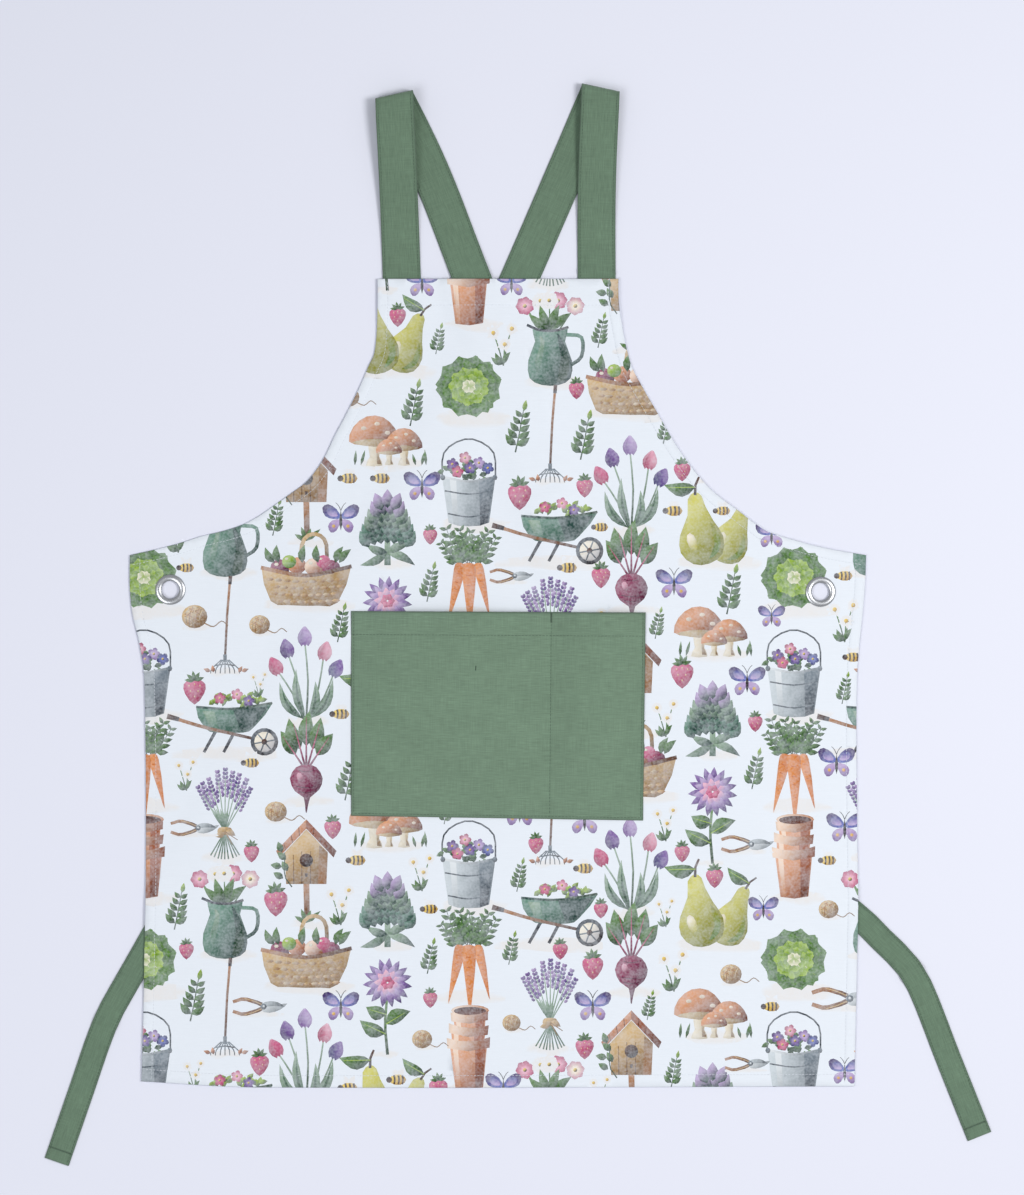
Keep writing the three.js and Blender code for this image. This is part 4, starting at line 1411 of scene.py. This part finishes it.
def make_metal_material():
    shader = Shader("satin_nickel")
    brushed = shader.noise(shader.place(), (900, 900, 900), 3)
    return shader.coated({
        "Base Color": (*linear((196, 198, 202)), 1),
        "Metallic": 1,
        "Roughness": shader.stretched(brushed, (0, 1), 0.2, 0.38),
        "Normal": shader.bump(brushed, 0.00005, 0.25),
    })


cloth_material = make_cloth_material()
pocket_material = make_green_material("pocket_canvas", CANVAS_GREEN)
# The same canvas as the pocket, darker by painted shade.
shaded_band_material = make_green_material("shaded_band_canvas", SHADED_BAND_GREEN)
white_thread = make_thread_material("white_thread", (226, 231, 238))
green_thread = make_thread_material("green_thread", (66, 90, 72))
metal_material = make_metal_material()


# Straps and ties, along the rings that their solids are lofted through

def solid_rings(node, end):
    """Each ring's middle and half width vector, from the ring that lies nearest to an end."""
    work = welded(node)
    start = sorted(work.verts, key=lambda corner: (corner.co.xy - Vector(end)).length)[:4]
    rings = [start]
    seen = set(start)
    while rings[-1]:
        beside = {edge.other_vert(corner) for corner in rings[-1] for edge in corner.link_edges}
        rings.append(list(beside - seen))
        seen |= beside
    middles = []
    halves = []
    for corners in rings[:-1]:
        places = [np.array(corner.co) for corner in corners]
        first = places.pop(0)
        places.sort(key=lambda place: np.linalg.norm(place - first))
        one_edge = (first + places[0]) / 2
        other_edge = (places[1] + places[2]) / 2
        half = (other_edge - one_edge) / 2
        if halves and half @ halves[-1] < 0:
            half = -half
        middles.append((one_edge + other_edge) / 2)
        halves.append(half)
    work.free()
    return np.array(middles), np.array(halves)


def between(lengths, rows, wanted):
    return np.column_stack([np.interp(wanted, lengths, rows[:, axis]) for axis in range(rows.shape[1])])


def eased(rows, passes, held):
    """Rows softened by their neighbours, apart from where they are held."""
    for _ in range(passes):
        moved = rows.copy()
        moved[1:-1] = (rows[:-2] + 2 * rows[1:-1] + rows[2:]) / 4
        rows = np.where(held[:, None], rows, moved)
    return rows


# Bands of canvas
BAND_THICKNESS = 1.6
BAND_ROUND = 0.7
BAND_REST = 0.22
BAND_WAVE = 0.1
BAND_WAVE_LENGTH = 23
STRAP_EASING = 60

# A strap's fold, where the rings of its solid lie close together
FOLD_RING_GAP = 2
FOLD_LINES = 17
FOLD_CLEAR = 4
FOLD_HELD = 30
FOLD_TURN = 1.9

# Grooves and puckers of a band's seams and its hem, and the sway of its creases
BAND_GROOVE = 0.28
BAND_GROOVE_WIDTH = 0.7
BAND_PUCKER = 0.07
BAND_PUCKER_PITCH = 1.35
HEM_GROOVE = 0.35
HEM_GROOVE_WIDTH = 0.9
# Widths of the painted shade over a tie's hem stitches and along the edges.
HEM_SHADE_WIDTH = 0.8
EDGE_SHADE_WIDTH = 0.9
HEM_LINES = TIE_HEM + np.array([-1.4, -0.7, 0, 0.7, 1.4])
CREASE_SWAY = 2.2
SEAM_START = 3.0


def bell(distance, width):
    """From 1 at no distance down to 0 past a width."""
    return math.exp(-((distance / width) ** 2))


class Ribbon:
    """A flat band of folded canvas, sewn along both edges: a strap with a fold, or a tie with a hem."""

    def __init__(self, node, end, fold_rise):
        middles, halves = solid_rings(node, end)
        lengths = arc_lengths(middles)
        steps = np.diff(lengths)
        close = lengths[:-1][steps < FOLD_RING_GAP]
        self.is_strap = len(close) > 0
        self.fold = close.mean() if self.is_strap else None
        self.fold_rise = fold_rise
        self.creases = []
        wanted = np.arange(0, lengths[-1], RIBBON_STEP)
        near = HEM_LINES
        if self.is_strap:
            near = np.linspace(close[0], close[-1] + steps[steps < FOLD_RING_GAP][-1], FOLD_LINES)
            wanted = wanted[np.abs(wanted - self.fold) > FOLD_CLEAR]
        self.lengths = np.unique(np.concatenate([wanted, near, lengths[-1:]]))
        held = np.zeros(len(self.lengths), bool)
        held[[0, -1]] = True
        if self.is_strap:
            held |= np.abs(self.lengths - self.fold) < FOLD_HELD
        passes = STRAP_EASING if self.is_strap else TIE_EASING
        self.middles = eased(between(lengths, middles, self.lengths), passes, held)
        self.halves = eased(between(lengths, halves, self.lengths), passes, held)
        along = np.gradient(self.middles, self.lengths, axis=0)
        normals = np.cross(along, self.halves)
        self.normals = normals / np.linalg.norm(normals, axis=1)[:, None]
        if self.normals[0][2] < 0:
            self.normals = -self.normals
            self.halves = -self.halves
        self.half = np.linalg.norm(self.halves[0])
        self.inset = STRAP_STITCH_INSET if self.is_strap else TIE_STITCH_INSET
        self.seam = 1 - self.inset / self.half

    def across_places(self):
        """Shares across the band, close together at its edges and its seams."""
        half, seam = self.half, self.seam
        rim = [1, 1 - 0.25 / half, 1 - 0.7 / half, 1 - 1.4 / half]
        groove = [seam + 0.7 / half, seam, seam - 0.7 / half, seam - 1.8 / half]
        inner = list(np.linspace(seam - 4 / half, 0, 6))
        right = rim + groove + inner
        return np.array(right + [-share for share in reversed(right[:-1])])

    def side_height(self, share):
        """Half of the band's thickness at a share across it."""
        from_edge = (1 - abs(share)) * self.half
        rounded_off = math.sqrt(max(0.0, 1 - max(0.0, 1 - from_edge / BAND_ROUND) ** 2))
        groove = BAND_GROOVE * bell((abs(share) - self.seam) * self.half, BAND_GROOVE_WIDTH)
        return (BAND_THICKNESS / 2) * rounded_off - groove * (from_edge > 0.5)

    def hem(self, length, width):
        """From 1 on the stitches of a tie's hem to 0 away from them."""
        return 0 if self.is_strap else bell(length - TIE_HEM, width)

    def make(self, name, material):
        shares = self.across_places()
        points = []
        place = []
        painted_shade = []
        for index, length in enumerate(self.lengths):
            top = []
            bottom = []
            for share in shares:
                base = self.middles[index] + self.halves[index] * share
                base = base + np.array([0, 0, self.lift(length, share)])
                rise = self.side_height(share) - HEM_GROOVE * self.hem(length, HEM_GROOVE_WIDTH)
                pucker_up = BAND_PUCKER * math.sin(length * BAND_PUCKER_PITCH + share * 4)
                top.append(base + self.normals[index] * (rise + pucker_up * (abs(share) > self.seam - 0.15)))
                bottom.append(base - self.normals[index] * rise)
            points += top + bottom[::-1][1:-1]
            for share in list(shares) + list(shares[::-1][1:-1]):
                place.append((length, share * self.half))
                # Painted shade along the band's edges and over a tie's hem stitches.
                edge = math.exp(-((1 - abs(share)) * self.half / EDGE_SHADE_WIDTH))
                painted_shade.append(max(self.hem(length, HEM_SHADE_WIDTH), edge))
        count = 2 * len(shares) - 2
        faces = []
        for low in range(0, len(points) - count, count):
            for column in range(count):
                beside = (column + 1) % count
                faces.append((low + column, low + beside, low + count + beside, low + count + column))
        faces.append(tuple(reversed(range(count))))
        faces.append(tuple(range(len(points) - count, len(points))))
        piece = add_mesh(name, points, faces, material)
        fix_normals(piece)
        set_cloth_place(piece, place, painted_shade)
        return piece

    def lift(self, length, share):
        """How far the band rises off what it lies on, in its creases and between them."""
        rise = BAND_REST + BAND_WAVE * (1 + math.sin(length / BAND_WAVE_LENGTH))
        if self.is_strap:
            after_fold = smooth((length - self.fold + FOLD_TURN) / (2 * FOLD_TURN))
            rise += self.fold_rise * float(smooth((length - self.fold) / FOLD_REACH + 1) * (1 - after_fold))
        for at, height, reach in self.creases:
            rise += height * bell(length - at - CREASE_SWAY * math.sin(share * 2.4 + 1), reach)
        return rise

    def crease(self, place, height, reach):
        """Adds a crease across the band at the point nearest to a place, its upper run before its lower."""
        nearest = np.argmin(np.linalg.norm(self.middles[:, :2] - place, axis=1) - self.middles[:, 2] * 0.01)
        self.creases.append((self.lengths[nearest], height, reach))

    def sew(self, thread):
        """Stitches along both edges, on both faces, and across a tie's hem."""
        for at in np.arange(SEAM_START, self.lengths[-1] - SEAM_START, STITCH_PITCH):
            for side in (-self.seam, self.seam):
                ends = [self.surface(length, side) for length in (at, at + STITCH_LENGTH)]
                for face in (-1, 1):
                    places = [middle + normal * face * rise for middle, normal, rise in ends]
                    thread.stitch(*places, ends[0][1] * face)
        if self.is_strap:
            return
        for across in np.arange(-self.half + self.inset, self.half - self.inset, STITCH_PITCH):
            ends = [self.surface(TIE_HEM, place / self.half) for place in (across, across + STITCH_LENGTH)]
            thread.stitch(*[middle + normal * rise for middle, normal, rise in ends], ends[0][1])

    def surface(self, length, share):
        """A point of the band's middle, its normal and the height of its face there."""
        middle, half, normal = (
            between(self.lengths, rows, [length])[0] for rows in (self.middles, self.halves, self.normals)
        )
        place = middle + half * share + np.array([0, 0, self.lift(length, share)])
        return place, normal / np.linalg.norm(normal), BAND_THICKNESS / 2 - STITCH_SINK


def fix_normals(piece):
    work = bmesh.new()
    work.from_mesh(piece.data)
    bmesh.ops.recalc_face_normals(work, faces=work.faces)
    work.to_mesh(piece.data)
    work.free()


def set_cloth_place(piece, places, painted_shade):
    """Where each point lies on the cut cloth, in metres, for its weave, and how much painted shade darkens it
    there, from 0 to 1.
    """
    attribute = piece.data.attributes.new("cloth_place", "FLOAT_VECTOR", "POINT")
    flat = np.column_stack([np.asarray(places, float) * MM, painted_shade])
    attribute.data.foreach_set("vector", flat.ravel())


# Pocket

POCKET_FULLNESS = (1.3, 0.9)
POCKET_OPEN_REACH = 70
POCKET_ROUND = 0.8
POCKET_SLACK = 0.4
POCKET_CREASE_PX = ((575, 688), (632, 755))
POCKET_CREASE_RISE = 0.5
POCKET_CREASE_WIDTH = 6
POCKET_TACK_END = 10.5
POCKET_TACK_STEP = 0.62
SLUB_PX = ((476, 664.6), (475.6, 671.4))
pocket_field = Field("pocket", 0)


def pocket_corners():
    work = welded("pocket")
    flat = np.array([corner.co.xy for corner in work.verts])
    work.free()
    names = {"top_left": (-1, 1), "top_right": (1, 1), "bottom_right": (1, -1), "bottom_left": (-1, -1)}
    return {name: flat[np.argmax(flat @ np.array(way))] for name, way in names.items()}


def seam_lines(length, step, seams):
    """Lines of an even grid over a length, closer together beside the seams and at its ends."""
    lines = np.linspace(0, length, round(length / step) + 1)
    clear = np.min(np.abs(lines[:, None] - np.array(seams)), axis=1) > 1.5
    near = [seam + offset for seam in seams for offset in (-1.3, -0.7, 0, 0.7, 1.3)]
    ends = (0, 0.4, length - 0.4, length)
    return np.unique(np.concatenate([lines[clear], near, ends]).clip(0, length))


class PocketPlan:
    """The pocket's cut piece, across from its left edge and down from its top."""

    def __init__(self):
        self.corner = pocket_corners()
        corner = self.corner
        self.width = np.linalg.norm(corner["top_right"] - corner["top_left"])
        self.height = np.linalg.norm(corner["bottom_left"] - corner["top_left"])
        self.upright = (POCKET_SEAM, POCKET_DIVIDER, self.width - POCKET_SEAM)
        self.level = (POCKET_HEM, self.height - POCKET_SEAM)

    def place(self, across, down):
        corner = self.corner
        left = corner["top_left"] + (corner["bottom_left"] - corner["top_left"]) * down / self.height
        right = corner["top_right"] + (corner["bottom_right"] - corner["top_right"]) * down / self.height
        return left + (right - left) * across / self.width

    def seam_depths(self, across, down):
        """Distance to each of its five rows of stitches."""
        upright = [np.abs(across - seam) for seam in self.upright]
        return upright + [np.abs(down - seam) for seam in self.level]

    def fullness(self, across, down):
        """How far the cloth stands off between its seams, most at the open top."""
        total = 0
        for start, end, height in zip(self.upright, self.upright[1:], POCKET_FULLNESS):
            share = np.clip((across - start) / (end - start), 0, 1)
            total = total + height * (4 * share * (1 - share)) ** 0.7
        return total * smooth((self.level[1] - down) / POCKET_OPEN_REACH)


def make_pocket():
    plan = PocketPlan()
    columns = seam_lines(plan.width, POCKET_STEP, plan.upright)
    rows = seam_lines(plan.height, POCKET_STEP, plan.level)
    place = np.array([(across, down) for down in rows for across in columns])
    flat = np.array([plan.place(across, down) for across, down in place])
    across, down = place[:, 0], place[:, 1]
    base = FLOOR_CLEARANCE + pocket_field.at(flat) + undulation(flat)
    rise = plan.fullness(across, down)
    for depth in plan.seam_depths(across, down):
        rise += pucker(flat, depth)
    crease = distance_to(flat, np.array([photo_place(*place_px) for place_px in POCKET_CREASE_PX]))
    rise += POCKET_CREASE_RISE * np.exp(-((crease / POCKET_CREASE_WIDTH) ** 2))
    edge = np.min([across, plan.width - across, down, plan.height - down], axis=0)
    rounded_off = np.sqrt(1 - np.clip(1 - edge / POCKET_ROUND, 0, 1) ** 2)
    hem = smooth((POCKET_HEM + 0.8 - down) / 1.6)
    top = base + (CLOTH_THICKNESS + HEM_RISE * hem) * (0.5 + 0.5 * rounded_off) + rise * rounded_off
    under = base + np.maximum(plan.fullness(across, down) - POCKET_SLACK, 0)
    count = len(columns)
    total = len(flat)
    points = np.vstack([np.column_stack([flat, top]), np.column_stack([flat, under])])
    faces = []
    for row in range(len(rows) - 1):
        for column in range(count - 1):
            low = row * count + column
            faces.append((low, low + 1, low + count + 1, low + count))
            faces.append((total + low, total + low + count, total + low + count + 1, total + low + 1))
    rim = [row * count for row in range(len(rows))]
    rim += [total - count + column for column in range(1, count)]
    rim += [row * count + count - 1 for row in reversed(range(len(rows) - 1))]
    rim += [column for column in reversed(range(1, count - 1))]
    for here, beside in zip(rim, rim[1:] + rim[:1]):
        faces.append((here, beside, total + beside, total + here))
    piece = add_mesh("pocket_canvas", points, faces, pocket_material)
    fix_normals(piece)
    # Painted shade along the pocket's edges.
    painted_shade = np.exp(-edge / EDGE_SHADE_WIDTH)
    laid = np.column_stack([across, -down])
    set_cloth_place(piece, np.vstack([laid, laid]), np.concatenate([painted_shade, painted_shade]))
    return piece


# Stitches

# Rows of share along the stitch, rise and radius, the last two in thread radii
STITCH_SHAPE = ((0, -0.9, 0.5), (0.14, 0.3, 0.95), (0.5, 0.8, 1), (0.86, 0.3, 0.95), (1, -0.9, 0.5))
STITCH_SIDES = 6


class Thread:
    """Stitches that come up out of the cloth and go down again, gathered into one piece."""

    def __init__(self):
        self.points = []
        self.faces = []

    def stitch(self, start, end, up):
        start, end = np.array(start), np.array(end)
        along = (end - start) / np.linalg.norm(end - start)
        side = np.cross(along, up)
        first = len(self.points)
        for share, rise, size in STITCH_SHAPE:
            middle = start + (end - start) * share + up * (THREAD_RADIUS * rise)
            for step in range(STITCH_SIDES):
                turn = 2 * math.pi * step / STITCH_SIDES
                reach = side * math.cos(turn) + up * math.sin(turn)
                self.points.append(middle + reach * THREAD_RADIUS * size)
        for ring_index in range(len(STITCH_SHAPE) - 1):
            low = first + ring_index * STITCH_SIDES
            for step in range(STITCH_SIDES):
                beside = (step + 1) % STITCH_SIDES
                self.faces.append((low + step, low + STITCH_SIDES + step, low + STITCH_SIDES + beside,
                                   low + beside))
        self.faces.append(tuple(range(first, first + STITCH_SIDES)))
        self.faces.append(tuple(reversed(range(len(self.points) - STITCH_SIDES, len(self.points)))))

    def sew(self, tree, run, pitch=STITCH_PITCH, length=STITCH_LENGTH):
        """Stitches along a line in plan, on top of the cloth that lies below it."""
        lengths = arc_lengths(run)
        for at in np.arange(0.6, lengths[-1] - length, pitch):
            ends = []
            for place in between(lengths, run, [at, at + length]):
                hit = tree.ray_cast(Vector((place[0] * MM, place[1] * MM, 0.1)), Vector((0, 0, -1)))[0]
                if hit is not None:
                    ends.append(np.array(hit) / MM)
            if len(ends) == 2:
                self.stitch(*ends, np.array([0, 0, 1.0]))

    def piece(self, name, material):
        made = add_mesh(name, self.points, self.faces, material)
        fix_normals(made)
        return made


def photo_place(across_px, down_px):
    """A place in the frame, in millimetres, from a pixel of the photograph."""
    return (np.array([across_px - ORIGIN_PX[0], ORIGIN_PX[1] - down_px])) * PHOTO_PIXEL


def cast_tree(piece):
    return BVHTree.FromPolygons([corner.co for corner in piece.data.vertices],
                                [face.vertices for face in piece.data.polygons])


def sew_body(piece):
    thread = Thread()
    tree = cast_tree(piece)
    for line in hem_lines(0).values():
        thread.sew(tree, line)
    return thread.piece("body_hem_thread", white_thread)


def sew_pocket(piece):
    thread = Thread()
    tree = cast_tree(piece)
    plan = PocketPlan()
    left, divider, right = plan.upright
    mouth, low = plan.level
    runs = [((left, 1), (left, low)), ((right, 1), (right, low)), ((left, low), (right, low))]
    runs += [((0.5, mouth), (plan.width - 0.5, mouth)), ((divider, 11), (divider, low))]
    for start, end in runs:
        thread.sew(tree, np.array([plan.place(*start), plan.place(*end)]))
    for down in np.arange(0.8, POCKET_TACK_END, POCKET_TACK_STEP):
        tack = np.array([plan.place(divider - 1.7, down), plan.place(divider + 1.7, down)])
        thread.sew(tree, tack, pitch=5, length=2.2)
    for beside in (-0.35, 0, 0.35):
        slub = np.array([photo_place(across + beside, down) for across, down in SLUB_PX])
        thread.sew(tree, slub, pitch=7, length=5.6)
    return thread.piece("pocket_thread", green_thread)


# Eyelets

EYELET_SIDES = 96
EYELET_ARC_STEPS = 14
EYELET_BORE = 17
EYELET_ACROSS = 30
EYELET_SEAT = 2.55
EYELET_SEAT_ROUND = 0.25
EYELET_WALL = 1.2


def make_eyelet(node, name):
    low, high = box_mm(node)
    middle = (low + high) / 2
    rim = (high[0] - low[0]) / 2
    bore = rim * EYELET_BORE / EYELET_ACROSS
    crest = (bore + rim) / 2
    seat = EYELET_SEAT
    arc_foot = seat + EYELET_SEAT_ROUND
    profile = [(bore, 0.3), (bore + 0.3, low[2]), (rim - 0.3, low[2]), (rim, 0.35), (rim - 0.25, 0.75)]
    profile += [(bore + EYELET_WALL, 0.8), (bore + EYELET_WALL, seat)]
    profile += [(rim - 0.5, seat), (rim - 0.12, seat + 0.1)]
    for turn in np.linspace(0, math.pi, EYELET_ARC_STEPS + 1):
        reach = crest + (rim - crest) * math.cos(turn)
        profile.append((reach, arc_foot + (high[2] - arc_foot) * math.sin(turn)))
    points = []
    faces = []
    count = len(profile)
    for side in range(EYELET_SIDES):
        turn = 2 * math.pi * side / EYELET_SIDES
        for radius, height in profile:
            points.append((middle[0] + radius * math.cos(turn), middle[1] + radius * math.sin(turn),
                           height))
        for step in range(count):
            beside = (step + 1) % count
            here = side * count
            there = ((side + 1) % EYELET_SIDES) * count
            faces.append((here + step, there + step, there + beside, here + beside))
    piece = add_mesh(name, points, faces, metal_material)
    fix_normals(piece)
    return piece


def dress(piece, node):
    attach(piece, "root")
    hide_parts(node)


# Building

body = make_body()
dress(body, "body_panel")
dress(sew_body(body), "body_panel")
pocket = make_pocket()
dress(pocket, "pocket")
dress(sew_pocket(pocket), "pocket")

# Bands by node: a place where they start, a crease's place, height and reach, and how high the fold stands
BANDS = {
    "shoulder_strap_left": {"start": (-113.5, 318.7), "crease": ((-114, 349.5), 0.8, 1.8), "fold_rise": 13},
    "shoulder_strap_right": {"start": (77.1, 318.7), "crease": ((77.8, 348.6), 1.3, 2), "fold_rise": 8},
    "waist_tie_left": {"start": (-454.3, -528.7), "crease": ((-405.8, -388.2), 0.8, 5), "fold_rise": 0},
    "waist_tie_right": {"start": (454.5, -503.7), "crease": ((389.8, -339.9), 1.6, 4), "fold_rise": 0},
}
for node, row in BANDS.items():
    band = Ribbon(node, row["start"], row["fold_rise"])
    band.crease(*row["crease"])
    canvas = band.make(node + "_canvas", shaded_band_material)
    dress(canvas, node)
    thread = Thread()
    band.sew(thread)
    dress(thread.piece(node + "_thread", green_thread), node)
    "laid" if "tie" in node else "folded"

for node in EYELETS:
    dress(make_eyelet(node, node + "_ring"), node)
